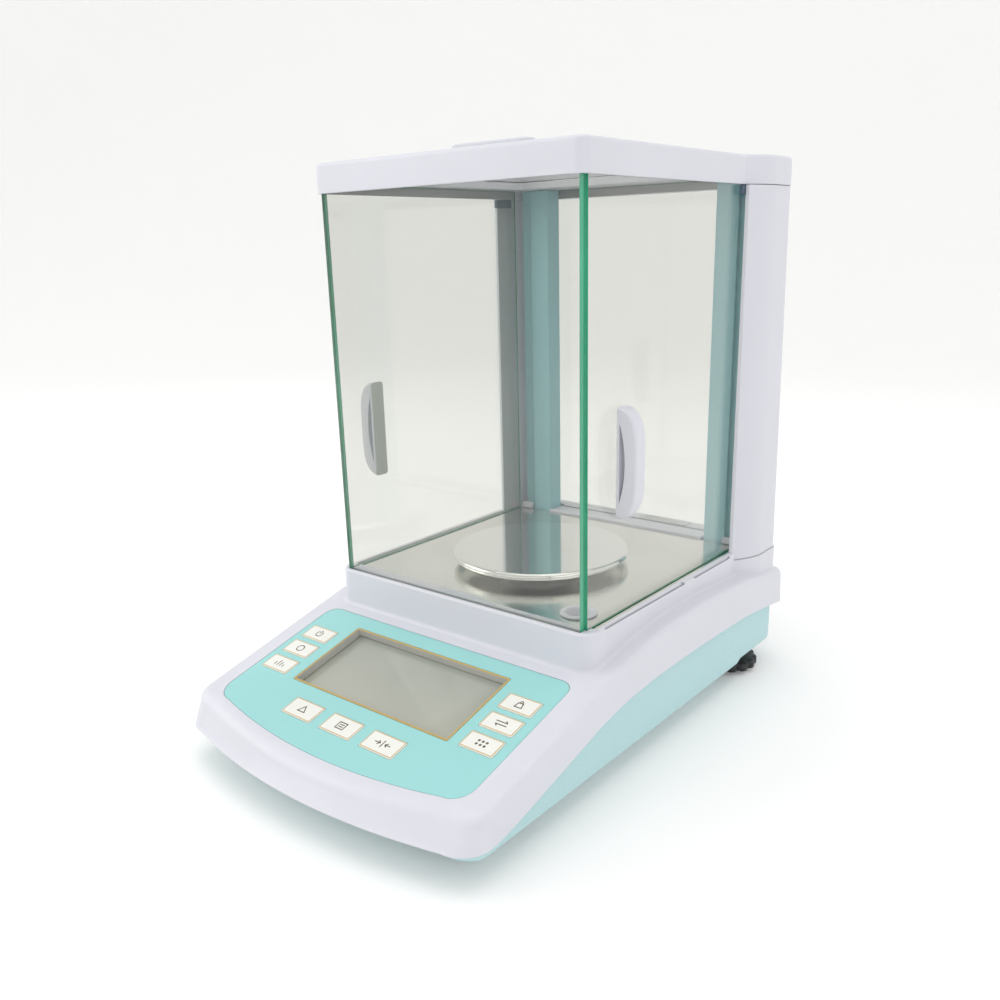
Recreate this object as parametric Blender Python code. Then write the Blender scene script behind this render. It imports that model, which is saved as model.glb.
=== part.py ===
"""Analytical balance: a weighing chamber of glass on a moulded base with a sloping control panel.

Sizes are in millimetres. Modelling coordinates start at the front glass's outer face (y = 0, +y to the
back) and the plinth's rim (z = 0). DATUM moves them so that the world origin is the middle of the
footprint, on the table.
"""

from math import cos, pi, radians, sin, tan

import bmesh
import bpy
from mathutils import Vector

MM = 0.001
DATUM = Vector((0.0, -46.5, 85.0))
GAP = 0.3

# Base.
TABLE_Z = -85.0
FRONT_Y = -127.0
REAR_Y = 220.0
FRONT_BOW = 365.0
SHELL_HALF_FRONT = 108.7
SHELL_HALF_REAR = 110.5
SHELL_WALL = 2.6
CORNER_R = 17.0
SHOULDER_R = 4.2
CASING_WALL = 2.4
CASING_BOTTOM = -72.0
CASING_STEP_Z = -69.7
CASING_STEP_Y = 156.0
CASING_REAR = 217.4
CASING_REAR_R = 22.0
SPLIT_LINE = (
    (-127, -66), (-95, -66), (-10, -43.5), (15, -39), (45, -37), (75, -36.6), (160, -38), (220, -46),
)

# Sloping control panel: its back edge, its tilt, and the membrane on it.
PANEL_Y = -10.1
PANEL_Z = -24.55
PANEL_TILT = radians(14.46)
OVERLAY_X = -1.1
OVERLAY_HALF = 93.5
OVERLAY_DEPTH = 103.6
OVERLAY_BOW = 351.0
LCD_X = (-60.6, 58.4)
LCD_S = (10.3, 64.3)
LCD_DEPTH = 4.4
KEY_PROUD = 0.5
KEY_BOTTOM = -3.6
SIDE_KEY = (21.5, 11.9)
FRONT_KEY = (23.3, 13.0)
LEFT_KEY_X = -79.2
RIGHT_KEY_X = 75.8
SIDE_KEY_S = (26.0, 41.7, 57.7)
FRONT_KEY_S = 80.9
FRONT_KEY_X = (-32.1, -1.4, 29.5)

# Plinth and chamber.
PLINTH_FRONT = -2.3
PLINTH_HALF = 96.5
PLINTH_SPREAD = 1.3
PLINTH_CORNER = 10.5
EAR_HALF = 105.4
EAR_Y = (163.8, 187.0)
EAR_GROW = 0.25
PLINTH_REAR = 213.6
LEDGE_Z = -5.0
CHAMBER_HALF = 92.7
FLOOR_REAR = 180.0
FLOOR_DROP = -3.4
FLOOR_TOP = -0.6
PLATE_STEP = ((11.5, 11.4), (13.5, 11.1), (17.0, 8.8), (19.5, 8.4))
GLASS_TOP = 229.5
GLASS_THICK = 4.0
DOOR_IN = 87.3
DOOR_OUT = 89.8
DOOR_REAR = 178.0
HANDLE_Y = (31.0, 41.0)
HANDLE_Z = (54.0, 113.5)
HANDLE_PROUD = 12.0
HANDLE_GAP = 3.2
BACK_GLASS_Y = (197.0, 200.2)
BACK_GLASS_HALF = 69.5
SILL_Y = (180.7, 184.4)

# Rear columns and their covers.
COLUMN_IN = 62.9
COLUMN_STEP = 78.0
COLUMN_OUT = 86.6
COLUMN_Y = (183.0, 203.0)
COVER_IN = 92.9
COVER_FRONT = 162.9
COVER_HALF_LOW = 104.6
COVER_HALF_HIGH = 101.6

# Top frame.
SKIRT_Z = 224.2
TOP_Z = 240.7
TOP_HALF = 92.3
TOP_EAR_HALF = 102.2
TOP_EAR_Y = (165.0, 184.0)
TOP_FRONT = -2.5
TOP_REAR = 213.4
TOP_DOOR_HALF = 78.5
TOP_DOOR_Y = (12.5, 168.0)
TOP_DOOR_Z = (234.5, 237.5)
TOP_HANDLE_Z = 248.0

# Pan, load cell and feet.
PAN_Y = 84.75
PAN_R = 55.0
PAN_TOP = 8.7
RIM_R = 2.3
LEVEL_X = 71.6
LEVEL_Y = 23.3
WHEEL_X = 88.0
WHEEL_Y = 177.0
WHEEL_R = 20.0
WHEEL_Z = (-82.6, -77.0)
FRONT_FOOT = (70.0, -62.0)
SCREWS = (("front", 42.0, -62.0), ("rear", 70.0, 140.0))

FINISHES = {
    "white_plastic": ((0.80, 0.80, 0.84), 0.35, 0.0),
    "teal_plastic": ((0.35, 0.51, 0.53), 0.45, 0.0),
    "teal_paint": ((0.23, 0.44, 0.46), 0.4, 0.0),
    "overlay": ((0.38, 0.74, 0.73), 0.4, 0.0),
    "key": ((0.85, 0.85, 0.80), 0.45, 0.0),
    "gold": ((0.58, 0.40, 0.14), 0.4, 0.3),
    "display": ((0.42, 0.43, 0.39), 0.2, 0.0),
    "steel": ((0.62, 0.61, 0.58), 0.2, 1.0),
    "aluminium": ((0.70, 0.70, 0.72), 0.4, 1.0),
    "copper": ((0.72, 0.35, 0.16), 0.35, 1.0),
    "glass": ((0.75, 0.88, 0.83), 0.03, 0.0),
    "rubber": ((0.02, 0.02, 0.02), 0.7, 0.0),
    "black_plastic": ((0.02, 0.022, 0.022), 0.45, 0.0),
    "board": ((0.03, 0.22, 0.09), 0.5, 0.0),
    "label": ((0.72, 0.72, 0.74), 0.4, 0.2),
}


# ---------------------------------------------------------------- helpers


def clear_scene():
    for obj in list(bpy.data.objects):
        bpy.data.objects.remove(obj, do_unlink=True)


def finish(name):
    material = bpy.data.materials.get(name)
    if material is None:
        colour, roughness, metallic = FINISHES[name]
        material = bpy.data.materials.new(name)
        material.use_nodes = True
        shader = material.node_tree.nodes["Principled BSDF"]
        shader.inputs["Base Color"].default_value = (*colour, 1.0)
        shader.inputs["Roughness"].default_value = roughness
        shader.inputs["Metallic"].default_value = metallic
    return material


def solid(name, points, faces, finish_name, origin=(0.0, 0.0, 0.0)):
    """An object from millimetre points, with its origin at the given point and its faces turned outward."""
    mesh = bpy.data.meshes.new(name)
    start = Vector(origin)
    mesh.from_pydata([(Vector(p) - start) * MM for p in points], [], faces)
    shape = bmesh.new()
    shape.from_mesh(mesh)
    bmesh.ops.remove_doubles(shape, verts=shape.verts, dist=1e-6)
    bmesh.ops.recalc_face_normals(shape, faces=shape.faces)
    shape.to_mesh(mesh)
    shape.free()
    obj = bpy.data.objects.new(name, mesh)
    bpy.context.scene.collection.objects.link(obj)
    obj.location = (start + DATUM) * MM
    mesh.materials.append(finish(finish_name))
    return obj


def loft(name, rings, finish_name, origin=(0.0, 0.0, 0.0), closed=False):
    """Skins rings of equal length. The ends get caps of strips, or join each other when closed."""
    count = len(rings[0])
    points = [p for ring in rings for p in ring]
    faces = []
    for k in range(len(rings) if closed else len(rings) - 1):
        low = k * count
        high = (k + 1) % len(rings) * count
        for i in range(count):
            j = (i + 1) % count
            faces.append((low + i, low + j, high + j, high + i))
    if not closed:
        faces += strip_cap(rings[0], 0)
        faces += strip_cap(rings[-1], (len(rings) - 1) * count)
    return solid(name, points, faces, finish_name, origin)


def strip_cap(ring, start):
    """Faces across a ring whose points i and -i mirror each other. Points on one line across share a face."""
    count = len(ring)
    middle = count // 2
    breaks = [0]
    for i in range(1, middle + 1):
        if abs(ring[i][1] - ring[breaks[-1]][1]) > 1e-6:
            breaks.append(i)
    breaks[-1] = middle
    faces = []
    for first, last in zip(breaks, breaks[1:]):
        right = list(range(first, last + 1))
        left = [(count - i) % count for i in reversed(right)]
        faces.append([start + i for i in dict.fromkeys(right + left)])
    return faces


def prism(name, outline, z0, z1, finish_name, origin=(0.0, 0.0, 0.0), place=None):
    """An outline pushed from z0 to z1. place turns (x, y, z) into modelling coordinates."""
    place = place or (lambda x, y, z: (x, y, z))
    count = len(outline)
    points = [place(x, y, z) for z in (z0, z1) for x, y in outline]
    faces = [tuple(range(count)), tuple(range(count, 2 * count))]
    faces += [(i, (i + 1) % count, count + (i + 1) % count, count + i) for i in range(count)]
    return solid(name, points, faces, finish_name, origin)


def box(name, low, high, finish_name, origin=(0.0, 0.0, 0.0)):
    outline = [(low[0], low[1]), (high[0], low[1]), (high[0], high[1]), (low[0], high[1])]
    return prism(name, outline, low[2], high[2], finish_name, origin)


def turned(name, profile, centre, finish_name, steps=32, ring=False):
    """Turns a profile of (radius, z) about the vertical axis at centre; its ends are on the axis or join."""
    points = []
    faces = []
    rows = []
    for radius, z in profile:
        if radius == 0:
            rows.append([len(points)] * steps)
            points.append((centre[0], centre[1], z))
            continue
        rows.append(list(range(len(points), len(points) + steps)))
        for k in range(steps):
            angle = 2 * pi * k / steps
            points.append((centre[0] + radius * cos(angle), centre[1] + radius * sin(angle), z))
    pairs = list(zip(rows, rows[1:]))
    if ring:
        pairs.append((rows[-1], rows[0]))
    for low, high in pairs:
        for k in range(steps):
            j = (k + 1) % steps
            corners = list(dict.fromkeys((low[k], low[j], high[j], high[k])))
            if len(corners) > 2:
                faces.append(corners)
    obj = solid(name, points, faces, finish_name, (centre[0], centre[1], 0.0))
    smooth(obj)
    return obj


def smooth(obj, angle=35.0):
    obj.data.shade_smooth()
    obj.data.set_sharp_from_angle(angle=radians(angle))


def cylinder(name, centre, radius, z0, z1, finish_name, steps=24):
    profile = [(0, z0), (radius, z0), (radius, z1), (0, z1)]
    return turned(name, profile, centre, finish_name, steps)


def combine(obj, others, operation="DIFFERENCE"):
    """Joins or cuts with each other object, applies the result and removes the others."""
    for other in others:
        modifier = obj.modifiers.new(other.name, "BOOLEAN")
        modifier.operation = operation
        modifier.solver = "EXACT"
        modifier.object = other
    bpy.context.view_layer.update()
    graph = bpy.context.evaluated_depsgraph_get()
    mesh = bpy.data.meshes.new_from_object(obj.evaluated_get(graph))
    obj.modifiers.clear()
    obj.data = mesh
    for other in others:
        bpy.data.objects.remove(other, do_unlink=True)
    return obj


def rounded(x0, x1, y0, y1, radius, steps=3):
    """A rectangle's outline with round corners, anticlockwise from its lower right corner."""
    left, right = x0 + radius, x1 - radius
    low, high = y0 + radius, y1 - radius
    outline = []
    for turn, (cx, cy) in enumerate(((right, low), (right, high), (left, high), (left, low))):
        for k in range(steps + 1):
            angle = (turn - 1) * pi / 2 + k * pi / 2 / steps
            outline.append((cx + radius * cos(angle), cy + radius * sin(angle)))
    return outline


def sweep(start, end, count):
    return [start + (end - start) * k / count for k in range(1, count + 1)]


def line_height(line, y):
    """The height at y of a line through (y, z) points."""
    for (y0, z0), (y1, z1) in zip(line, line[1:]):
        if y <= y1:
            return z0 + (z1 - z0) * max(0.0, (y - y0) / (y1 - y0))
    return line[-1][1]


# ---------------------------------------------------------------- base surfaces


def panel_point(x, s, lift):
    """A point on the sloping panel: s runs down the slope from the membrane's back edge, lift is off it."""
    y = PANEL_Y - s * cos(PANEL_TILT) - lift * sin(PANEL_TILT)
    return (x, y, PANEL_Z - s * sin(PANEL_TILT) + lift * cos(PANEL_TILT))


def deck_z(y):
    """The shell's top surface: the panel's slope, then a low crown beside the plinth."""
    crown_y = 85.0
    crown_z = -11.0
    if y < 8.0:
        return PANEL_Z + (y - PANEL_Y) * tan(PANEL_TILT)
    fall = 0.0015 if y < crown_y else 0.00064
    return crown_z - fall * (y - crown_y) ** 2


def split_z(y):
    return line_height(SPLIT_LINE, y)


def casing_bottom(y):
    return line_height([(CASING_STEP_Y - 3, CASING_BOTTOM), (CASING_STEP_Y + 3, CASING_STEP_Z)], y)


def mirrored(half):
    """A whole ring from its right half, which starts and ends on the middle plane."""
    return half + [(-x, y) for x, y in reversed(half[1:-1])]


def corner(cx, cy, radius, start, end, count):
    return [(cx + radius * cos(a), cy + radius * sin(a)) for a in sweep(start, end, count)]


SIDE_STATIONS = (-78.0, -58.0, -36.0, -14.0)
NOSE_STATIONS = (-4.0, 0.0, 4.0, 8.0)
WALL_STATIONS = (14.0, 34.0, 58.0, 85.0, 112.0, 138.0, 153.0, 157.0)
EAR_STATIONS = (160.5, 163.8, 167.5, 171.5, 176.5, 187.0, 203.0)
SIDE_TURN = SIDE_STATIONS + NOSE_STATIONS + WALL_STATIONS + EAR_STATIONS


def base_outline(inset, front_in=None, rear=REAR_Y, rear_r=13.0):
    """The base's plan outline, moved in by inset, and by front_in at its bowed front edge."""
    front_in = inset if front_in is None else front_in
    rear_half = SHELL_HALF_REAR - inset
    rear_radius = max(rear_r - inset, 2.0)
    turn_x = SHELL_HALF_FRONT - CORNER_R
    turn_y = FRONT_Y + turn_x * turn_x / (2 * FRONT_BOW) + CORNER_R
    half_ring = [(x, FRONT_Y + front_in + x * x / (2 * FRONT_BOW)) for x in sweep(-0.25 * turn_x, turn_x, 5)]
    for angle in sweep(-pi / 2, 0.0, 5):
        x = turn_x + (CORNER_R - inset) * cos(angle)
        half_ring.append((x, turn_y + (CORNER_R - front_in) * sin(angle)))
    last = rear - inset - rear_radius
    stations = [min(y, last - 2.0 * k) for k, y in zip(range(len(SIDE_TURN) - 1, -1, -1), SIDE_TURN)]
    spread = (SHELL_HALF_REAR - SHELL_HALF_FRONT) / (REAR_Y - turn_y)
    half_ring += [(SHELL_HALF_FRONT - inset + spread * (y - turn_y), y) for y in stations]
    half_ring += corner(rear_half - rear_radius, last, rear_radius, 0.0, pi / 2, 4)
    half_ring += [(0.45 * (rear_half - rear_radius), rear - inset), (0.0, rear - inset)]
    return mirrored(half_ring)


def ear_bulge(y, narrow, wide, span, dip):
    """The side wall's half width: straight, a shallow valley before the ear, then the ear's swell."""
    start, end = span
    if y <= start:
        return narrow - dip * max(0.0, 1.0 - (start - y) / 6.0)
    return narrow - dip + (wide - narrow + dip) * sin(0.5 * pi * min(1.0, (y - start) / (end - start)))


def spread_at(y):
    """The plinth's walls open slightly to the back."""
    return PLINTH_SPREAD * min(1.0, max(0.0, (y - 12.0) / 138.0))


def walled_outline(half, wide, front, rear, radius, rear_radius, bulge):
    """An outline with round front corners, and an ear of half width wide round each rear pillar."""
    turn_x = half - radius
    edge = [(turn_x * k / 8, front) for k in range(9)]
    sides = corner(turn_x, front + radius, radius, -pi / 2, 0.0, len(SIDE_STATIONS) + 1)
    nose = [(half, y) for y in sweep(front + radius, 13.0, len(NOSE_STATIONS))]
    ears = [(bulge(y), y) for y in WALL_STATIONS + EAR_STATIONS]
    turn = corner(wide - rear_radius, rear - rear_radius, rear_radius, 0.0, pi / 2, 4)
    return mirrored(edge + sides + nose + ears + turn + [(0.45 * wide, rear), (0.0, rear)])


def plinth_outline(grow):
    """The plinth's plan outline, moved out by grow.

    The ears and the rear stand close to the shell's shoulder, so they grow less.
    """
    ear_grow = grow if grow < 0 else EAR_GROW * grow
    half = PLINTH_HALF + grow
    wide = EAR_HALF + ear_grow
    return walled_outline(
        half, wide, PLINTH_FRONT - grow, PLINTH_REAR + ear_grow,
        PLINTH_CORNER + grow, max(10.0 + ear_grow, 1.0),
        lambda y: ear_bulge(y, half + spread_at(y), wide, EAR_Y, 1.2),
    )


def top_outline(grow):
    """The top frame's plan outline, moved out by grow."""
    half = TOP_HALF + grow
    wide = TOP_EAR_HALF + grow
    return walled_outline(
        half, wide, TOP_FRONT - grow, TOP_REAR + grow, 6.0 + grow, 10.0 + grow,
        lambda y: ear_bulge(y, half, wide, TOP_EAR_Y, 0.0),
    )


def at_height(outline, height):
    """Gives each (x, y) a z, from a number or from a function of y."""
    return [(x, y, height(y) if callable(height) else height) for x, y in outline]


# ---------------------------------------------------------------- base parts


def front_face_rings(insets, heights):
    """Rings whose side and front move in by their own amounts, at the given heights."""
    outlines = [base_outline(side, front_in=front) for side, front in insets]
    return [at_height(outline, height) for outline, height in zip(outlines, heights)]


def make_upper_shell():
    wall = SHELL_WALL
    radius = SHOULDER_R
    inner_deck = lambda y: deck_z(y) - wall
    rings = [
        at_height(plinth_outline(-1.8), 0.0),
        at_height(plinth_outline(-0.5), -0.5),
        at_height(plinth_outline(0.0), -1.8),
        at_height(plinth_outline(0.2), lambda y: deck_z(y) + 2.2),
        at_height(plinth_outline(0.9), lambda y: deck_z(y) + 0.7),
        at_height(plinth_outline(2.4), deck_z),
    ]
    insets = ((radius, 12.0), (0.3 * radius, 8.5), (0.0, 6.2), (0.0, 0.0))
    heights = (deck_z, lambda y: deck_z(y) - 0.3 * radius, lambda y: deck_z(y) - radius, split_z)
    rings += front_face_rings(insets, heights)
    insets = ((wall, wall), (wall + 0.2, 9.2), (radius + 0.9, 15.0))
    heights = (split_z, lambda y: deck_z(y) - radius - 1.8, inner_deck)
    rings += front_face_rings(insets, heights)
    rings.append(at_height(plinth_outline(-1.2), inner_deck))
    rings.append(at_height(plinth_outline(-2.4), LEDGE_Z - wall))
    shell = loft("upper_shell", rings, "white_plastic")
    return combine(shell, shell_cutters())


def tray_side(sign, step):
    """One side of the tray, from its front edge at y = step round to the middle of its rear."""
    groove = DOOR_IN - GAP
    outer = DOOR_OUT + GAP
    beyond = REAR_Y + 20
    line = [
        (groove, step), (groove, 4.0), (outer, 4.0), (outer, step), (CHAMBER_HALF, step),
        (CHAMBER_HALF, beyond), (groove, beyond), (groove, COLUMN_Y[1] + GAP),
        (COLUMN_IN - GAP, COLUMN_Y[1] + GAP), (COLUMN_IN - GAP, SILL_Y[1] + GAP),
    ]
    return [(sign * x, y) for x, y in line]


def tray_outline():
    """The chamber floor, the two door grooves that run out at the rear, and the sockets of the columns."""
    front = [(x, y - GAP) for x, y in PLATE_STEP]
    return front + tray_side(1, front[-1][1]) + list(reversed(tray_side(-1, front[0][1])))


def slot_outline(sign, y0, y1):
    """A narrow slot that follows the plinth's wall."""
    corners = ((95.1, y0), (96.1, y0), (96.1, y1), (95.1, y1))
    return [(sign * (x + spread_at(y)), y) for x, y in corners]


def shell_cutters():
    beyond = REAR_Y + 20
    cutters = [
        prism("tray", tray_outline(), FLOOR_DROP, 5, "white_plastic"),
        box("front_groove", (-88.8, -GAP, FLOOR_DROP - 0.6), (88.8, GLASS_THICK + GAP, 5), "white_plastic"),
    ]
    for sign in (-1, 1):
        inner, outer = sorted((sign * (CHAMBER_HALF - 0.2), sign * 125))
        front = COVER_FRONT - 0.4
        cutters.append(box("ledge", (inner, front, LEDGE_Z), (outer, beyond + 2, 5), "white_plastic"))
        for y0, y1 in ((12.5, 97.0), (109.0, 156.0)):
            cutters.append(prism("slot", slot_outline(sign, y0, y1), -3.0, 5, "white_plastic"))
    low, high = BACK_GLASS_Y
    half = BACK_GLASS_HALF + GAP
    bed = FLOOR_DROP + 0.5
    cutters.append(box("back_groove", (-half, low - GAP, bed), (half, high + GAP, 5), "white_plastic"))
    cutters.append(cylinder("spindle_hole", (0, PAN_Y), 13.0, -30, 5, "white_plastic"))
    cutters.append(cylinder("level_hole", (LEVEL_X, LEVEL_Y), 8.3, -30, 5, "white_plastic"))
    window = rounded(LCD_X[0] - 0.8, LCD_X[1] + 0.8, LCD_S[0] - 0.8, LCD_S[1] + 0.8, 1.5)
    cutters.append(prism("window", window, -12, 4, "white_plastic", place=panel_point))
    pocket = overlay_outline(GAP)
    cutters.append(prism("pocket", pocket, -1.2, 4, "white_plastic", place=panel_point))
    for name, x, s, size in key_places():
        hole = key_outline(x, s, size, GAP)
        cutters.append(prism(name + "_hole", hole, -12, 4, "white_plastic", place=panel_point))
    return cutters


def make_lower_casing():
    wall = CASING_WALL
    nest = SHELL_WALL + GAP
    top = lambda y: split_z(y) + 3.0
    floor = lambda y: casing_bottom(y) + wall
    rings = [
        at_height(casing_outline(nest + 1.4, 9.0), casing_bottom),
        at_height(casing_outline(nest, 7.0), lambda y: casing_bottom(y) + 3.2),
        at_height(casing_outline(nest, 5.8), split_z),
        at_height(casing_outline(nest, 6.1), top),
        at_height(casing_outline(nest + wall, 6.1 + wall), top),
        at_height(casing_outline(nest + wall, 7.0 + wall), lambda y: casing_bottom(y) + 3.6),
        at_height(casing_outline(nest + 1.4 + wall, 9.0 + wall), floor),
    ]
    casing = loft("lower_casing", rings, "teal_plastic")
    cutters = [
        box("inlet_hole", (44, 195, -67.0), (73.6, 235, -46.2), "teal_plastic"),
        box("data_hole", (-60, 195, -63.0), (-27, 235, -49.8), "teal_plastic"),
    ]
    for k in range(6):
        y = 20 + 14 * k
        cutters.append(box("vent", (-40, y, -80), (40, y + 4, -60), "teal_plastic"))
    for sign in (-1, 1):
        cutters.append(cylinder("stud_hole", (sign * WHEEL_X, WHEEL_Y), 4.6, -80, -60, "teal_plastic"))
        for _, x, y in SCREWS:
            cutters.append(cylinder("screw_hole", (sign * x, y), 2.6, -80, -60, "teal_plastic", steps=12))
    return combine(casing, cutters)


def casing_outline(side_inset, front_inset):
    """The base outline with its own inset at the front, and a rear face set in from the shell's."""
    return base_outline(side_inset, front_inset, rear=CASING_REAR, rear_r=CASING_REAR_R)


def overlay_outline(grow):
    """The membrane's outline in panel coordinates, with a bowed front edge."""
    half = OVERLAY_HALF + grow
    back = -grow
    radius = 8.0 + grow
    front_r = 12.0 + grow
    turn_x = half - front_r
    bow = [(x, OVERLAY_DEPTH + grow - x * x / (2 * OVERLAY_BOW)) for x in sweep(-0.25 * turn_x, turn_x, 5)]
    front_s = bow[-1][1] - front_r
    half_ring = [(0.0, back), (half - radius, back)]
    half_ring += corner(half - radius, back + radius, radius, -pi / 2, 0.0, 4)
    half_ring += [(half, front_s)]
    half_ring += corner(turn_x, front_s, front_r, 0.0, pi / 2, 5)
    half_ring += list(reversed(bow[:-1]))
    return [(x + OVERLAY_X, s) for x, s in mirrored(half_ring)]


def key_places():
    """Each key's name, centre on the panel and size."""
    left = ("key_on", "key_off", "key_integration")
    right = ("key_calibrate", "key_unit", "key_count")
    front = ("key_sensitivity", "key_print", "key_tare")
    places = [(name, LEFT_KEY_X, s, SIDE_KEY) for name, s in zip(left, SIDE_KEY_S)]
    places += [(name, RIGHT_KEY_X, s, SIDE_KEY) for name, s in zip(right, SIDE_KEY_S)]
    places += [(name, x, FRONT_KEY_S, FRONT_KEY) for name, x in zip(front, FRONT_KEY_X)]
    return places


def key_outline(x, s, size, grow):
    half_x = size[0] / 2 + grow
    half_s = size[1] / 2 + grow
    return rounded(x - half_x, x + half_x, s - half_s, s + half_s, 1.0 + grow, 2)


def make_control_panel():
    overlay = prism("keypad_overlay", overlay_outline(0.0), -0.9, 0.0, "overlay", place=panel_point)
    window = rounded(LCD_X[0], LCD_X[1], LCD_S[0], LCD_S[1], 1.2)
    cutters = [prism("window", window, -3, 3, "overlay", place=panel_point)]
    for name, x, s, size in key_places():
        hole = key_outline(x, s, size, GAP)
        cutters.append(prism(name + "_hole", hole, -3, 3, "overlay", place=panel_point))
    combine(overlay, cutters)
    for name, x, s, size in key_places():
        outline = key_outline(x, s, size, 0.0)
        prism(name, outline, KEY_BOTTOM, KEY_PROUD, "key", panel_point(x, s, 0.0), panel_point)
    frame_out = rounded(LCD_X[0] + 0.3, LCD_X[1] - 0.3, LCD_S[0] + 0.3, LCD_S[1] - 0.3, 1.0)
    frame_in = rounded(LCD_X[0] + 1.5, LCD_X[1] - 1.5, LCD_S[0] + 1.5, LCD_S[1] - 1.5, 0.6)
    bezel_rings = []
    for line, lift in ((frame_out, -LCD_DEPTH), (frame_out, 0.1), (frame_in, 0.1), (frame_in, -LCD_DEPTH)):
        bezel_rings.append([panel_point(x, s, lift) for x, s in line])
    loft("lcd_bezel", bezel_rings, "gold", closed=True)
    module = rounded(LCD_X[0] - 2.5, LCD_X[1] + 2.5, LCD_S[0] - 2.5, LCD_S[1] + 2.5, 1.0)
    prism("lcd_module", module, -9.5, -LCD_DEPTH - GAP, "display", place=panel_point)
    make_keypad_board()


def make_keypad_board():
    """A U-shaped board round the display, under the keys."""
    outline = [(-92, 16), (-66, 16), (-66, 70), (64, 70), (64, 16), (90, 16), (90, 91), (-92, 91)]
    prism("keypad_board", outline, -6.6, -5.0, "board", place=panel_point)


# ---------------------------------------------------------------- chamber


def make_floor():
    edge = CHAMBER_HALF - GAP
    front = list(PLATE_STEP)
    outline = front + [(edge, front[-1][1]), (edge, FLOOR_REAR), (-edge, FLOOR_REAR), (-edge, front[0][1])]
    floor = prism("floor_plate", outline, FLOOR_DROP + GAP, FLOOR_TOP, "steel")
    holes = [
        cylinder("spindle_hole", (0, PAN_Y), 12.0, -10, 5, "steel", 32),
        cylinder("level_hole", (LEVEL_X, LEVEL_Y), 8.3, -10, 5, "steel", 32),
    ]
    combine(floor, holes)
    half = COLUMN_IN - 2 * GAP
    box("rear_sill", (-half, SILL_Y[0], FLOOR_DROP + GAP), (half, SILL_Y[1], 1.0), "white_plastic")
    for side, sign in (("left", -1), ("right", 1)):
        inner, outer = sorted((sign * 78.0, sign * 86.6))
        box(side + "_rear_clip", (inner, 178.6, FLOOR_TOP + GAP), (outer, 182.6, 3.8), "white_plastic")


def make_pan():
    """A flat dish whose edge is rolled under, and its carrier."""
    low = PAN_TOP - 1.2
    rim_x = PAN_R - RIM_R
    rim_z = PAN_TOP - RIM_R
    profile = [(0, low), (rim_x - 2.0, low)]
    for k in range(10):
        angle = radians(208) + radians(242) * k / 9
        profile.append((rim_x + RIM_R * cos(angle), rim_z + RIM_R * sin(angle)))
    profile.append((0, PAN_TOP))
    turned("weighing_pan", profile, (0, PAN_Y), "steel", 48)
    profile = [(0, -33.6), (4, -33.6), (4, -8), (8, -3), (8, 1.5), (26, 5.0), (26, low - GAP), (0, low - GAP)]
    turned("pan_support", profile, (0, PAN_Y), "aluminium", 32)


def make_level():
    top = FLOOR_TOP + 1.5
    under = FLOOR_TOP + GAP
    profile = [(9.2, under), (9.2, top - 0.4), (8.8, top), (7.4, top), (5.4, -4.5)]
    profile += [(5.4, -9.5), (7.6, -9.5), (7.6, under)]
    turned("level_ring", profile, (LEVEL_X, LEVEL_Y), "white_plastic", 28, ring=True)
    cylinder("level_vial", (LEVEL_X, LEVEL_Y), 5.1, -9.3, -5.2, "glass", 20)


def make_glass():
    low, high = BACK_GLASS_Y
    half = BACK_GLASS_HALF
    box("front_glass", (-88.5, 0.0, FLOOR_DROP - GAP), (88.5, GLASS_THICK, GLASS_TOP), "glass")
    box("back_glass", (-half, low, FLOOR_DROP + 0.8), (half, high, GLASS_TOP), "glass")
    for side, sign in (("left", -1), ("right", 1)):
        inner, outer = sorted((sign * DOOR_IN, sign * DOOR_OUT))
        box(side + "_door_glass", (inner, 4.7, FLOOR_TOP + GAP), (outer, DOOR_REAR, GLASS_TOP), "glass")
        make_handle(side, sign)


def make_handle(side, sign):
    """A D-shaped blade on the door's outer face, with a crescent finger gap beside the glass."""
    foot = DOOR_OUT + GAP
    low, high = HANDLE_Z
    middle = (low + high) / 2
    reach = (high - low) / 2
    outer = [(foot, low)]
    for k in range(9):
        angle = -pi / 2 + pi * k / 8
        bulge = foot + HANDLE_PROUD * (1 - abs(sin(angle)) ** 5)
        outer.append((bulge if k not in (0, 8) else foot + 3.0, middle + reach * sin(angle)))
    outer.append((foot, high))
    outline = [(sign * x, z) for x, z in outer]
    place = lambda x, z, y: (x, y, z)
    handle = prism(side + "_door_handle", outline, HANDLE_Y[0], HANDLE_Y[1], "white_plastic", place=place)
    gap = []
    for k in range(9):
        t = -1 + 2 * k / 8
        gap.append((sign * (foot + 1.2 + HANDLE_GAP * (1 - t * t)), middle + 21.0 * t))
    slot = prism("slot", gap, HANDLE_Y[0] - 2, HANDLE_Y[1] + 2, "white_plastic", place=place)
    return combine(handle, [slot])


def make_columns():
    """Hollow extrusions with a recessed outer part, and a rebate at the back that takes the back glass."""
    y0, y1 = COLUMN_Y
    lip = BACK_GLASS_Y[0] - GAP
    rebate = BACK_GLASS_HALF + 2 * GAP
    right = [
        (COLUMN_IN, y0), (COLUMN_STEP, y0), (COLUMN_STEP, y0 + 2.5), (COLUMN_OUT, y0 + 2.5),
        (COLUMN_OUT, y1), (rebate, y1), (rebate, lip), (COLUMN_IN, lip),
    ]
    for side, sign in (("left", -1), ("right", 1)):
        outline = [(sign * x, y) for x, y in right]
        column = prism(side + "_column", outline, FLOOR_DROP + GAP, GLASS_TOP, "teal_paint")
        low, high = sorted((sign * (rebate + 2.0), sign * (COLUMN_OUT - 2.5)))
        combine(column, [box("bore", (low, y0 + 4.5, -20), (high, y1 - 2.5, 260), "teal_paint")])


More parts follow.
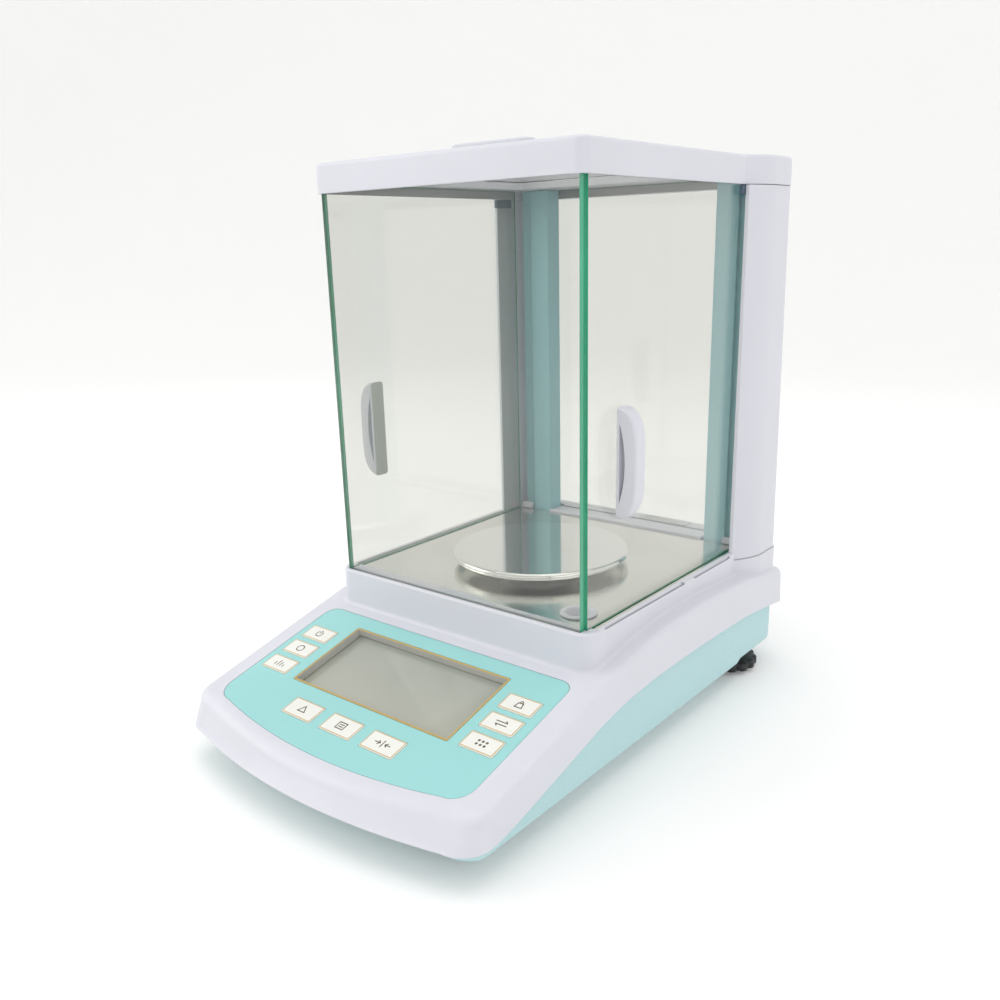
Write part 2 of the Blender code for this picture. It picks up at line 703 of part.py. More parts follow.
def cover_outline(wide, wall, front, stations):
    """The right pillar cover's plan outline: a flat inner side and an outer side that swells like the ear."""
    inner = COVER_IN + wall
    rear = TOP_REAR - 0.6 - wall
    start = (COVER_FRONT + 0.6, EAR_Y[1])
    side = [(ear_bulge(y, COVER_IN + 2.4, wide, start, 0.0) - wall, y) for y in stations]
    radius = 9.0 - wall
    turn = corner(wide - wall - radius, rear - radius, radius, 0.0, pi / 2, 4)
    return [(inner, front), (inner + 1.9 - 0.7 * wall, front)] + side + turn + [(inner, rear)]


def make_pillar_covers():
    """Tapered tubes, hollow where they are wide enough."""
    low = LEDGE_Z + GAP
    high = SKIRT_Z - GAP
    skin = (0.0, COVER_FRONT, (163.5, 165.5, 168, 171.5, 175.5, 181, 190, TOP_REAR - 10))
    hollow = (2.0, 172.0, (172.4, 173.2, 174.4, 176.5, 179.5, 183, 190, TOP_REAR - 10))
    for side, sign in (("left", -1), ("right", 1)):
        rings = []
        for line, z, wide in (
            (skin, low, COVER_HALF_LOW), (skin, high, COVER_HALF_HIGH),
            (hollow, high, COVER_HALF_HIGH), (hollow, low, COVER_HALF_LOW),
        ):
            rings.append([(sign * x, y, z) for x, y in cover_outline(wide, *line)])
        loft(side + "_pillar_cover", rings, "white_plastic", closed=True)


# ---------------------------------------------------------------- top


def make_top_frame():
    levels = ((-0.5, SKIRT_Z), (0.0, SKIRT_Z + 0.5), (0.0, TOP_Z - 2.0), (-0.6, TOP_Z - 0.6), (-2.0, TOP_Z))
    frame = loft("top_frame", [at_height(top_outline(grow), z) for grow, z in levels], "white_plastic")
    ledge = TOP_DOOR_Z[0] - GAP
    ceiling = GLASS_TOP + GAP
    room = DOOR_OUT + 2 * GAP
    half = TOP_DOOR_HALF + 0.4
    glass_half = BACK_GLASS_HALF + GAP
    glass_rear = BACK_GLASS_Y[1] + GAP
    cutters = [
        box("chamber", (-room, -GAP, 200), (room, 182.6, ceiling), "white_plastic"),
        box("throat", (-74, 16.0, 200), (74, 166.0, 260), "white_plastic"),
        box("door_channel", (-half, 12.0, ledge), (half, 240, TOP_DOOR_Z[1] + GAP), "white_plastic"),
        box("back_groove", (-glass_half, 182.0, 200), (glass_half, glass_rear, ceiling), "white_plastic"),
    ]
    for sign in (-1, 1):
        low, high = sorted((sign * (COLUMN_IN - GAP), sign * room))
        cutters.append(box("socket", (low, 182.0, 200), (high, COLUMN_Y[1] + GAP, ceiling), "white_plastic"))
        low, high = sorted((sign * (DOOR_IN - GAP), sign * room))
        cutters.append(box("door_slot", (low, 182.0, 200), (high, 240, ceiling), "white_plastic"))
    return combine(frame, cutters)


def make_top_door():
    half = TOP_DOOR_HALF
    box("top_door", (-half, TOP_DOOR_Y[0], TOP_DOOR_Z[0]), (half, TOP_DOOR_Y[1], TOP_DOOR_Z[1]), "glass")
    place = lambda x, z, y: (x, y, z)
    base = TOP_DOOR_Z[1] + GAP
    top = TOP_HANDLE_Z
    outline = [(-27.3, base), (27.3, base), (27.3, top - 1.5), (25.8, top), (-24.3, top), (-27.3, top - 2.6)]
    prism("top_door_handle", outline, 40.0, 54.0, "white_plastic", place=place)


# ---------------------------------------------------------------- inside the base


def make_load_cell():
    floor = CASING_BOTTOM + CASING_WALL + GAP
    bracket = box("cell_bracket", (-26, 52, floor), (26, 150, floor + 6), "aluminium")
    post = box("post", (-22, 96, floor + 5), (22, 110, -46), "aluminium")
    combine(bracket, [post], "UNION")
    cylinder("magnet_housing", (0, 131), 19.0, floor + 6 + GAP, -48, "steel", 28)
    profile = [(9.0, -47.4), (12.5, -47.4), (12.5, -42.2), (9.0, -42.2)]
    turned("force_coil", profile, (0, 131), "copper", 24, ring=True)
    box("lever_beam", (-6, 78, -41.8), (6, 143, -34.4), "aluminium")


def make_electronics():
    floor = CASING_BOTTOM + CASING_WALL + GAP
    box("main_board", (-98, 10, floor + 4), (-36, 130, floor + 5.6), "board")
    core = box("power_transformer", (40, 80, floor), (88, 124, floor + 30), "steel")
    winding = box("winding", (47, 72, floor + 4), (81, 132, floor + 26), "copper")
    combine(core, [winding], "UNION")
    body = box("power_inlet", (44.4, 205, -66.6), (73.2, 213.6, -46.6), "black_plastic")
    socket = box("socket", (49, 207.5, -63.6), (68.6, 220, -49.6), "black_plastic")
    combine(body, [socket])
    for x, z in ((53.0, -54.0), (64.6, -54.0), (58.8, -59.6)):
        blade = box("blade", (x - 0.9, 206, z - 2), (x + 0.9, 212.8, z + 2), "black_plastic")
        combine(body, [blade], "UNION")
    body = box("data_port", (-59.6, 205, -62.6), (-27.4, 213.6, -50.2), "steel")
    combine(body, [box("socket", (-52.5, 208.0, -60.4), (-34.5, 220, -52.4), "steel")])


# ---------------------------------------------------------------- feet, label and screws


def wheel_outline(lobes=14, depth=2.0, per_lobe=4):
    outline = []
    count = lobes * per_lobe
    for k in range(count):
        angle = 2 * pi * k / count
        radius = WHEEL_R - depth * (0.5 - 0.5 * cos(lobes * angle)) ** 2
        outline.append((radius * cos(angle), radius * sin(angle)))
    return outline


def make_feet():
    low, high = WHEEL_Z
    foot_top = CASING_BOTTOM - GAP
    profile = [(0, TABLE_Z), (12, TABLE_Z), (13, TABLE_Z + 1.5), (11.5, foot_top), (0, foot_top)]
    for side, sign in (("left", -1), ("right", 1)):
        x, y = sign * WHEEL_X, WHEEL_Y
        outline = [(x + dx, y + dy) for dx, dy in wheel_outline()]
        wheel = prism(side + "_levelling_wheel", outline, low, high, "black_plastic", (x, y, low))
        stud = cylinder("stud", (x, y), 4.2, high - 1, -62, "black_plastic", 16)
        combine(wheel, [stud], "UNION")
        cylinder(side + "_levelling_pad", (x, y), 11.0, TABLE_Z, low - GAP, "rubber", 24)
        turned(side + "_front_foot", profile, (sign * FRONT_FOOT[0], FRONT_FOOT[1]), "rubber", 24)


def make_screws_and_label():
    for side, sign in (("left", -1), ("right", 1)):
        for place, x, y in SCREWS:
            head = CASING_BOTTOM - GAP
            profile = [(0, -74.0), (3.6, -73.4), (3.6, head), (2.0, head), (2.0, -62), (0, -62)]
            turned("casing_screw_{}_{}".format(place, side), profile, (sign * x, y), "steel", 12)
    box("rating_label", (2.0, 200.8, GAP), (40.0, 211.2, GAP + 0.4), "label")


def main():
    clear_scene()
    make_upper_shell()
    make_lower_casing()
    make_control_panel()
    make_floor()
    make_pan()
    make_level()
    make_glass()
    make_columns()
    make_pillar_covers()
    make_top_frame()
    make_top_door()
    make_load_cell()
    make_electronics()
    make_feet()
    make_screws_and_label()


main()
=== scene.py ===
"""Looks of the analytical balance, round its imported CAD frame.

Modelling coordinates are millimetres from the front glass's outer face (y = 0) and the plinth's rim
(z = 0), as in part.py. DATUM moves them into the frame.
"""

from math import cos, pi, radians, sin, tan

import bmesh
import bpy
from mathutils import Matrix, Vector


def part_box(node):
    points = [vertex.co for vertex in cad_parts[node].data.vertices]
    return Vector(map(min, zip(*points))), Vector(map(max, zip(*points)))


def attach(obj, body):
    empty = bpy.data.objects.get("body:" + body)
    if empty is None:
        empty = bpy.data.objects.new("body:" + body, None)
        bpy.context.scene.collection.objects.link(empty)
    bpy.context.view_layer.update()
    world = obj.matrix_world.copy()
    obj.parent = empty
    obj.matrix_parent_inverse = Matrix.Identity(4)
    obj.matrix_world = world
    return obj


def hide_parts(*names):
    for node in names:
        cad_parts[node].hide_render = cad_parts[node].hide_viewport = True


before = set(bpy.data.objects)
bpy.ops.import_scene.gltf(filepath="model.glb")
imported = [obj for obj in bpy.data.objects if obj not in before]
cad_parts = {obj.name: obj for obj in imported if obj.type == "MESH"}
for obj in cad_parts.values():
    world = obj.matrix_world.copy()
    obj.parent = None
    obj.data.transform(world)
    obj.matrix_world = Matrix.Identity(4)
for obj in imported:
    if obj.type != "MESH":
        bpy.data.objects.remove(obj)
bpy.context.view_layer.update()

MM = 0.001
DATUM = Vector((0.0, -46.5, 85.0))
GAP = 0.3

# Base: two shells that meet at the split line, and the slope of the panel.
TABLE_Z = -85.0
FRONT_Y = -127.0
REAR_Y = 220.0
FRONT_BOW = 365.0
HALF_FRONT = 108.7
HALF_REAR = 110.4
SHELL_WALL = 2.6
CORNER_R = 17.0
REAR_CORNER_R = 13.0
SPLIT_LINE = (
    (-127, -66), (-95, -66), (-60, -57.2), (-10, -43.5), (15, -39), (45, -37), (75, -36.6), (110, -36.9),
    (160, -38.4), (196, -42.5), (220, -46),
)
CASING_BOTTOM = -72.0
CASING_STEP_Z = -69.7
CASING_STEP_Y = 156.0
PANEL_Y = -10.1
PANEL_Z = -24.55
PANEL_TILT = radians(14.46)
INLET_WINDOW = (44, 73.6, -67.0, -46.2)
DATA_WINDOW = (-60, -27, -63.0, -49.8)
VENT_ROWS = range(20, 91, 14)
CASING_SCREWS = ((42, -62), (70, 140))
BEYOND = REAR_Y + 20

# Control panel. s runs down its slope.
OVERLAY_X = -1.1
OVERLAY_HALF = 93.5
OVERLAY_DEPTH = 103.6
OVERLAY_BOW = 351.0
LCD_X = (-60.6, 58.4)
LCD_S = (10.3, 64.3)
LCD_DEPTH = 4.4
KEY_BOTTOM = -3.6
SIDE_KEYS_X = (-79.2, 75.8)
SIDE_KEYS_S = (26.0, 41.7, 57.7)
SIDE_KEY = (21.5, 11.9)
FRONT_KEYS_X = (-32.1, -1.4, 29.5)
FRONT_KEYS_S = 80.9
FRONT_KEY = (23.3, 13.0)

# Plinth round the chamber, with an ear under each pillar.
FILLET = 2.3
PLINTH_FRONT = -2.3
PLINTH_HALF = 96.5
PLINTH_SPREAD = 1.3
PLINTH_CORNER = 10.5
EAR_HALF = 105.4
EAR_Y = (163.8, 187.0)
EAR_GROW = 0.25
PLINTH_REAR = 213.6
LEDGE_Z = -5.0

# Chamber: floor, glass, columns and pillar covers.
CHAMBER_HALF = 92.7
FLOOR_DROP = -3.4
FLOOR_TOP = -0.6
PLATE_STEP = ((11.5, 11.4), (13.5, 11.1), (17.0, 8.8), (19.5, 8.4))
DOOR_IN = 87.3
DOOR_OUT = 89.8
GLASS_TOP = 229.5
COLUMN_IN = 62.9
COLUMN_STEP = 78.0
COLUMN_OUT = 86.6
COLUMN_Y = (183.0, 203.0)
COVER_IN = 92.9
COVER_FRONT = 162.9
COVER_HALF = (104.6, 101.6)

# Top frame.
SKIRT_Z = 224.2
TOP_HALF = 92.3
TOP_EAR_HALF = 102.2
TOP_EAR_Y = (165.0, 184.0)
TOP_FRONT = -2.5
TOP_REAR = 213.4

# Back glass, sill, door handles, pan, level and feet.
BACK_GLASS_Y = (197.0, 200.2)
BACK_GLASS_HALF = 69.5
SILL_Y = (180.7, 184.4)
HANDLE_PROUD = 11.9
PAN_Y = 84.75
PAN_TOP = 8.7
PAN_RADIUS = 55.0
PAN_ROLL = 2.3
SPINDLE_HOLE = 13.0
LEVEL_X = 71.6
LEVEL_Y = 23.3
LEVEL_HOLE = 8.3
FOOT_X = 88.0
FOOT_Y = 177.0
WHEEL_RADIUS = 20.0
WHEEL_LOBES = 14
LOBE_DEPTH = 2.2
FRONT_FOOT = (70.0, -62.0)


# ---------------------------------------------------------------- materials


def node_material(name):
    material = bpy.data.materials.new(name)
    material.use_nodes = True
    tree = material.node_tree
    return material, tree, tree.nodes["Principled BSDF"]


def set_inputs(shader, **values):
    for key, value in values.items():
        shader.inputs[key.replace("_", " ")].default_value = value


def add_node(tree, kind, inputs, **settings):
    """A shader node. inputs gives each input its value, or the output that feeds it."""
    node = tree.nodes.new("ShaderNode" + kind)
    for key, value in settings.items():
        setattr(node, key, value)
    for key, value in inputs.items():
        if isinstance(value, bpy.types.NodeSocket):
            tree.links.new(value, node.inputs[key])
        else:
            node.inputs[key].default_value = value
    return node


def own_coordinates(tree):
    return add_node(tree, "TexCoord", {}).outputs["Object"]


def noise(tree, scale, detail=2.0, stretch=None, roughness=0.5):
    """A noise texture over the object's own coordinates, its scale in features per metre."""
    source = own_coordinates(tree)
    if stretch:
        source = add_node(tree, "Mapping", {"Vector": source, "Scale": stretch}).outputs["Vector"]
    inputs = {"Vector": source, "Scale": scale, "Detail": detail, "Roughness": roughness}
    return add_node(tree, "TexNoise", inputs).outputs["Fac"]


def spread(tree, value, low, high, start=0.3, end=0.7):
    """Maps a value between start and end to a range."""
    inputs = {"Value": value, "From Min": start, "From Max": end, "To Min": low, "To Max": high}
    return add_node(tree, "MapRange", inputs).outputs["Result"]


def tint(tree, value, colour, other):
    """A colour that wanders between two close ones."""
    inputs = {0: value, 6: (*colour, 1.0), 7: (*other, 1.0)}
    return add_node(tree, "Mix", inputs, data_type="RGBA").outputs[2]


def paint(tree, shader, colour, rough):
    """Links a colour and a roughness that vary over the surface."""
    tree.links.new(colour, shader.inputs["Base Color"])
    tree.links.new(rough, shader.inputs["Roughness"])


def add_bump(tree, shader, value, strength, depth, edge=0.0):
    inputs = {"Height": value, "Strength": strength, "Distance": depth * MM}
    if edge:
        inputs["Normal"] = add_node(tree, "Bevel", {"Radius": edge * MM}, samples=4).outputs["Normal"]
    bump = add_node(tree, "Bump", inputs)
    tree.links.new(bump.outputs["Normal"], shader.inputs["Normal"])


def shaded(colour, factor):
    return tuple(min(c * factor, 1.0) for c in colour)


def moulded(name, colour, rough, grain=2600.0, depth=0.02, strength=0.25, edge=0.35, vary=0.03):
    """Moulded plastic or satin paint: fine grain, slow colour drift and uneven polish."""
    material, tree, shader = node_material(name)
    set_inputs(shader, IOR=1.48)
    drift = spread(tree, noise(tree, 14.0, 4.0), 0.0, 1.0)
    drifting = tint(tree, drift, shaded(colour, 1 - vary), shaded(colour, 1 + vary * 0.5))
    paint(tree, shader, drifting, spread(tree, noise(tree, 60.0, 5.0), rough - 0.05, rough + 0.06))
    add_bump(tree, shader, noise(tree, grain, 3.0), strength, depth, edge)
    return material


def speckled(name, colour, spot, rough, grain=1800.0):
    """Painted metal or textured plastic with a visible fine speckle."""
    material, tree, shader = node_material(name)
    set_inputs(shader, IOR=1.47)
    fleck = spread(tree, noise(tree, 1500.0, 3.0), 0.0, 1.0, 0.42, 0.62)
    polish_drift = spread(tree, noise(tree, 240.0, 4.0), rough - 0.07, rough + 0.08)
    paint(tree, shader, tint(tree, fleck, colour, spot), polish_drift)
    add_bump(tree, shader, noise(tree, grain, 4.0), 0.3, 0.03, 0.3)
    return material


def brushed(name, colour, rough, stretch, strength=0.12, vary=0.07):
    """Steel with straight polishing lines along one axis."""
    material, tree, shader = node_material(name)
    set_inputs(shader, Metallic=1.0)
    lines = noise(tree, 420.0, 5.0, stretch, 0.62)
    cloud = spread(tree, noise(tree, 18.0, 3.0), 0.0, 1.0)
    clouded = tint(tree, cloud, shaded(colour, 0.95), shaded(colour, 1.04))
    paint(tree, shader, clouded, spread(tree, lines, rough - vary, rough + vary, 0.25, 0.75))
    add_bump(tree, shader, lines, strength, 0.01)
    return material


def turned_steel(name, colour, rough, centre):
    """Polished steel with fine rings about a vertical axis."""
    material, tree, shader = node_material(name)
    set_inputs(shader, Metallic=1.0)
    shift = add_node(tree, "VectorMath", {0: own_coordinates(tree), 1: centre}, operation="SUBTRACT")
    flat = add_node(tree, "VectorMath", {0: shift.outputs[0], 1: (1.0, 1.0, 0.0)}, operation="MULTIPLY")
    radius = add_node(tree, "VectorMath", {0: flat.outputs[0]}, operation="LENGTH").outputs["Value"]
    inputs = {"W": radius, "Scale": 1400.0, "Detail": 4.0}
    ring = add_node(tree, "TexNoise", inputs, noise_dimensions="1D").outputs["Fac"]
    smudge = spread(tree, noise(tree, 30.0, 4.0), 0.0, 1.0)
    smudged = tint(tree, smudge, shaded(colour, 0.97), colour)
    paint(tree, shader, smudged, spread(tree, ring, rough - 0.04, rough + 0.05))
    add_bump(tree, shader, ring, 0.10, 0.01)
    return material


def clear_glass(name, colour):
    """Float glass that lets the lamps through to what stands behind it."""
    material, tree, shader = node_material(name)
    set_inputs(shader, Base_Color=(*colour, 1.0), Roughness=0.0, IOR=1.5, Transmission_Weight=1.0)
    smear = spread(tree, noise(tree, 9.0, 4.0), 0.0, 0.002, 0.45, 0.8)
    tree.links.new(smear, shader.inputs["Roughness"])
    shadow_ray = add_node(tree, "LightPath", {}).outputs["Is Shadow Ray"]
    through = add_node(tree, "BsdfTransparent", {"Color": (0.955, 0.96, 0.945, 1.0)})
    mix = add_node(tree, "MixShader", {0: shadow_ray, 1: shader.outputs[0], 2: through.outputs[0]})
    tree.links.new(mix.outputs[0], tree.nodes["Material Output"].inputs["Surface"])
    return material


def edge_glass(name, colour, deep):
    """The ground edges of the panes, where the glass shows its green."""
    material, tree, shader = node_material(name)
    set_inputs(shader, Roughness=0.12, IOR=1.5, Coat_Weight=0.6, Coat_Roughness=0.05)
    streak = spread(tree, noise(tree, 26.0, 4.0, (1.0, 1.0, 0.35)), 0.0, 1.0)
    paint(tree, shader, tint(tree, streak, colour, deep), spread(tree, noise(tree, 300.0, 3.0), 0.08, 0.2))
    return material


def display_glass_painted_shade(name):
    """An unpowered liquid crystal behind clear acrylic: grey-green, and darker towards its back edge with
    painted shade of the recess.
    """
    material, tree, shader = node_material(name)
    set_inputs(shader, IOR=1.49, Coat_Weight=1.0, Coat_Roughness=0.03)
    split = add_node(tree, "SeparateXYZ", {0: own_coordinates(tree)})
    # Painted shade of the recess's back wall, strongest at the display's back edge.
    back = spread(tree, split.outputs["Y"], 0.0, 0.75, -0.118, -0.060)
    cloud = noise(tree, 25.0, 3.0)
    depth = add_node(tree, "Math", {0: back, 1: spread(tree, cloud, -0.06, 0.06)}, operation="ADD")
    colour = tint(tree, depth.outputs[0], (0.44, 0.445, 0.375), (0.30, 0.325, 0.295))
    paint(tree, shader, colour, spread(tree, cloud, 0.27, 0.31, 0.0, 1.0))
    return material


WHITE = (0.70, 0.705, 0.765)
FILM = {"grain": 5200.0, "depth": 0.012, "strength": 0.3}
LOOKS = {
    "white": moulded("white_plastic", WHITE, 0.36),
    "white_cover": moulded("white_cover", shaded(WHITE, 0.985), 0.34),
    "casing": speckled("casing_plastic", (0.45, 0.67, 0.69), (0.50, 0.71, 0.73), 0.44),
    "column": speckled("column_paint", (0.33, 0.64, 0.69), (0.37, 0.68, 0.725), 0.34, 900.0),
    "overlay": moulded("overlay_film", (0.335, 0.68, 0.67), 0.40, edge=0.12, vary=0.02, **FILM),
    "key": moulded("key_film", (0.86, 0.86, 0.81), 0.42, edge=0.15, **FILM),
    "key_border": moulded("key_border", (0.60, 0.45, 0.24), 0.42, edge=0.0, **FILM),
    "key_mark": moulded("key_mark", (0.12, 0.085, 0.06), 0.5, edge=0.0, **FILM),
    "gold": moulded("gold_border", (0.55, 0.385, 0.12), 0.34, 3800.0, 0.01, 0.3, edge=0.15),
    "display": display_glass_painted_shade("display_glass_painted_shade"),
    "display_wall": moulded("display_wall", (0.50, 0.50, 0.46), 0.4, 3800.0, 0.01, 0.3, edge=0.0),
    "floor": brushed("floor_steel", (0.75, 0.745, 0.71), 0.17, (0.05, 1.0, 1.0), 0.04, 0.035),
    "steel": brushed("steel", (0.56, 0.56, 0.55), 0.28, (1.0, 1.0, 0.08)),
    "pan": turned_steel("pan_steel", (0.84, 0.84, 0.82), 0.075, (0.0, 0.03825, 0.0)),
    "aluminium": brushed("aluminium", (0.72, 0.72, 0.73), 0.38, (0.08, 1.0, 1.0)),
    "copper": moulded("copper", (0.50, 0.20, 0.08), 0.4),
    "glass": clear_glass("clear_glass", (0.865, 0.87, 0.843)),
    "glass_edge": edge_glass("glass_edge", (0.035, 0.40, 0.22), (0.012, 0.235, 0.12)),
    # The vial's own green tint, darkened into painted shade of the hole round it.
    "vial": clear_glass("vial_glass_painted_shade", (0.34, 0.38, 0.30)),
    "rubber": moulded("rubber", (0.018, 0.018, 0.019), 0.72, 1500.0, 0.05, 0.4, edge=0.3, vary=0.2),
    "black": moulded("black_plastic", (0.020, 0.022, 0.023), 0.42, 2200.0, 0.03, 0.3, edge=0.3, vary=0.15),
    "board": moulded("circuit_board", (0.02, 0.19, 0.075), 0.42, 900.0, 0.05, 0.4, edge=0.2, vary=0.1),
    "label": moulded("label_film", (0.66, 0.67, 0.69), 0.33, 3000.0, 0.01, 0.2, edge=0.1),
    "tape": moulded("tape", (0.88, 0.90, 0.85), 0.5, 1800.0, 0.02, 0.2, edge=0.1),
    "dark_blue": moulded("dark_blue", (0.075, 0.11, 0.16), 0.5, 1800.0, 0.02, 0.2, edge=0.1),
    "dark": moulded("dark_gap", (0.03, 0.035, 0.04), 0.6, 1800.0, 0.02, 0.2, edge=0.0),
}


# ---------------------------------------------------------------- mesh helpers


def solid(name, points, faces, looks, marks=None, smooth=32.0):
    """An object from millimetre points. looks names its materials, marks gives each face its slot."""
    mesh = bpy.data.meshes.new(name)
    mesh.from_pydata([(Vector(p) + DATUM) * MM for p in points], [], faces)
    for look in looks:
        mesh.materials.append(LOOKS[look])
    if marks:
        mesh.polygons.foreach_set("material_index", marks)
    shape = bmesh.new()
    shape.from_mesh(mesh)
    bmesh.ops.remove_doubles(shape, verts=shape.verts, dist=1e-7)
    bmesh.ops.recalc_face_normals(shape, faces=shape.faces)
    shape.to_mesh(mesh)
    shape.free()
    obj = bpy.data.objects.new(name, mesh)
    bpy.context.scene.collection.objects.link(obj)
    polish(obj, smooth)
    return obj


def polish(obj, angle=32.0):
    obj.data.shade_smooth()
    obj.data.set_sharp_from_angle(angle=radians(angle))


def weighted(obj):
    """Keeps large flat faces flat-shaded beside small round ones."""
    modifier = obj.modifiers.new("normals", "WEIGHTED_NORMAL")
    modifier.keep_sharp = True
    modifier.weight = 80
    return obj


def bevelled(obj, width, segments=2):
    modifier = obj.modifiers.new("edges", "BEVEL")
    modifier.width = width * MM
    modifier.segments = segments
    modifier.limit_method = "ANGLE"
    modifier.angle_limit = radians(35.0)
    modifier.harden_normals = True
    modifier.use_clamp_overlap = True
    return obj


def apply_all(obj):
    bpy.context.view_layer.update()
    graph = bpy.context.evaluated_depsgraph_get()
    mesh = bpy.data.meshes.new_from_object(obj.evaluated_get(graph))
    obj.modifiers.clear()
    obj.data = mesh
    return obj


def combine(obj, others, operation="DIFFERENCE"):
    """Cuts or joins with each other object, keeps the result and removes the others."""
    for other in others:
        modifier = obj.modifiers.new(other.name, "BOOLEAN")
        modifier.operation = operation
        modifier.solver = "EXACT"
        modifier.object = other
    apply_all(obj)
    for other in others:
        bpy.data.objects.remove(other, do_unlink=True)
    polish(obj)
    return obj


def joined(name, objects):
    """One object from several separate solids, with their materials."""
    with bpy.context.temp_override(active_object=objects[0], selected_editable_objects=objects):
        bpy.ops.object.join()
    objects[0].name = name
    return objects[0]


def strip_cap(ring, start):
    """Faces across a ring whose points i and -i mirror each other. Points on one line across share a face."""
    count = len(ring)
    middle = count // 2
    breaks = [0]
    for i in range(1, middle + 1):
        if abs(ring[i][1] - ring[breaks[-1]][1]) > 1e-6:
            breaks.append(i)
    breaks[-1] = middle
    faces = []
    for first, last in zip(breaks, breaks[1:]):
        right = list(range(first, last + 1))
        left = [(count - i) % count for i in reversed(right)]
        faces.append([start + i for i in dict.fromkeys(right + left)])
    return faces


def loft(name, rings, look, closed=False, flat_caps=False, smooth=32.0):
    """Skins rings of equal length. The ends get caps, or join each other when closed."""
    count = len(rings[0])
    points = [p for ring in rings for p in ring]
    faces = []
    for k in range(len(rings) if closed else len(rings) - 1):
        low = k * count
        high = (k + 1) % len(rings) * count
        faces += [(low + i, low + (i + 1) % count, high + (i + 1) % count, high + i) for i in range(count)]
    last = (len(rings) - 1) * count
    if not closed and flat_caps:
        faces += [tuple(range(count)), tuple(range(last, last + count))]
    elif not closed:
        faces += strip_cap(rings[0], 0) + strip_cap(rings[-1], last)
    return solid(name, points, faces, [look], smooth=smooth)


def prism(name, outline, z0, z1, look, place=None):
    """An outline pushed from z0 to z1. place turns (x, y, z) into modelling coordinates."""
    place = place or (lambda x, y, z: (x, y, z))
    rings = [[place(x, y, z) for x, y in outline] for z in (z0, z1)]
    return loft(name, rings, look, flat_caps=True)


def facing_back(x, z, y):
    """Places a prism whose outline is of (x, z) and which runs along y."""
    return (x, y, z)


def node_corners(node):
    """A CAD node's lowest and highest corners, in modelling coordinates."""
    return [corner_point / MM - DATUM for corner_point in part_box(node)]


def box(name, low, high, look="white"):
    outline = [(low[0], low[1]), (high[0], low[1]), (high[0], high[1]), (low[0], high[1])]
    return prism(name, outline, low[2], high[2], look)


def cushion(name, outline_of, levels, look, place=None):
    """Stacks outlines: levels gives outline_of's value and a height, from the bottom to the top."""
    place = place or (lambda x, y, z: (x, y, z))
    rings = [[place(x, y, z) for x, y in outline_of(value)] for value, z in levels]
    return loft(name, rings, look, flat_caps=True)


def turned(name, profile, centre, look, steps=64, ring=False, smooth=32.0):
    """Turns a profile of (radius, z) about the vertical axis at centre."""
    points = []
    faces = []
    rows = []
    for radius, z in profile:
        if radius == 0:
            rows.append([len(points)] * steps)
            points.append((centre[0], centre[1], z))
            continue
        rows.append(list(range(len(points), len(points) + steps)))
        for k in range(steps):
            angle = 2 * pi * k / steps
            points.append((centre[0] + radius * cos(angle), centre[1] + radius * sin(angle), z))
    pairs = list(zip(rows, rows[1:]))
    if ring:
        pairs.append((rows[-1], rows[0]))
    for low, high in pairs:
        for k in range(steps):
            j = (k + 1) % steps
            corners = list(dict.fromkeys((low[k], low[j], high[j], high[k])))
            if len(corners) > 2:
                faces.append(corners)
    return solid(name, points, faces, [look], smooth=smooth)


def cylinder(name, centre, radius, z0, z1, look="white", steps=48):
    return turned(name, [(0, z0), (radius, z0), (radius, z1), (0, z1)], centre, look, steps)


def put(piece, body, slot, *nodes):
    """Rides a body and hides the CAD nodes that it stands for. slot is not used."""
    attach(piece, body)
    if nodes:
        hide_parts(*nodes)
    return piece


def sweep(start, end, count):
    return [start + (end - start) * k / count for k in range(1, count + 1)]


def corner(cx, cy, rx, ry, start, end, count):
    return [(cx + rx * cos(a), cy + ry * sin(a)) for a in sweep(start, end, count)]


def rounded(x0, x1, y0, y1, radius, steps=6):
    """A rectangle's outline with round corners, anticlockwise from its lower right corner."""
    outline = []
    left, right = x0 + radius, x1 - radius
    low, high = y0 + radius, y1 - radius
    for turn, (cx, cy) in enumerate(((right, low), (right, high), (left, high), (left, low))):
        for k in range(steps + 1):
            angle = (turn - 1) * pi / 2 + k * pi / 2 / steps
            outline.append((cx + radius * cos(angle), cy + radius * sin(angle)))
    return outline


def line_height(line, y):
    for (y0, z0), (y1, z1) in zip(line, line[1:]):
        if y <= y1:
            return z0 + (z1 - z0) * max(0.0, (y - y0) / (y1 - y0))
    return line[-1][1]


def smooth_line(line, y, reach=9.0):
    """The height of a line through points, with its corners eased."""
    return sum(line_height(line, y + reach * k / 4) for k in range(-4, 5)) / 9.0


def smooth_step(t):
    t = min(max(t, 0.0), 1.0)
    return t * t * (3 - 2 * t)


# ---------------------------------------------------------------- base surfaces


def panel_point(x, s, lift):
    """A point on the sloping panel: s runs down the slope, lift is off its surface."""
    y = PANEL_Y - s * cos(PANEL_TILT) - lift * sin(PANEL_TILT)
    return (x, y, PANEL_Z - s * sin(PANEL_TILT) + lift * cos(PANEL_TILT))


def deck_z(y):
    if y < 8.0:
        return PANEL_Z + (y - PANEL_Y) * tan(PANEL_TILT)
    return -11.0 - (0.0015 if y < 85.0 else 0.00064) * (y - 85.0) ** 2


def split_z(y):
    return smooth_line(SPLIT_LINE, y)


def casing_bottom(y):
    step = smooth_step((y - CASING_STEP_Y + 3.0) / 6.0)
    return CASING_BOTTOM + (CASING_STEP_Z - CASING_BOTTOM) * step


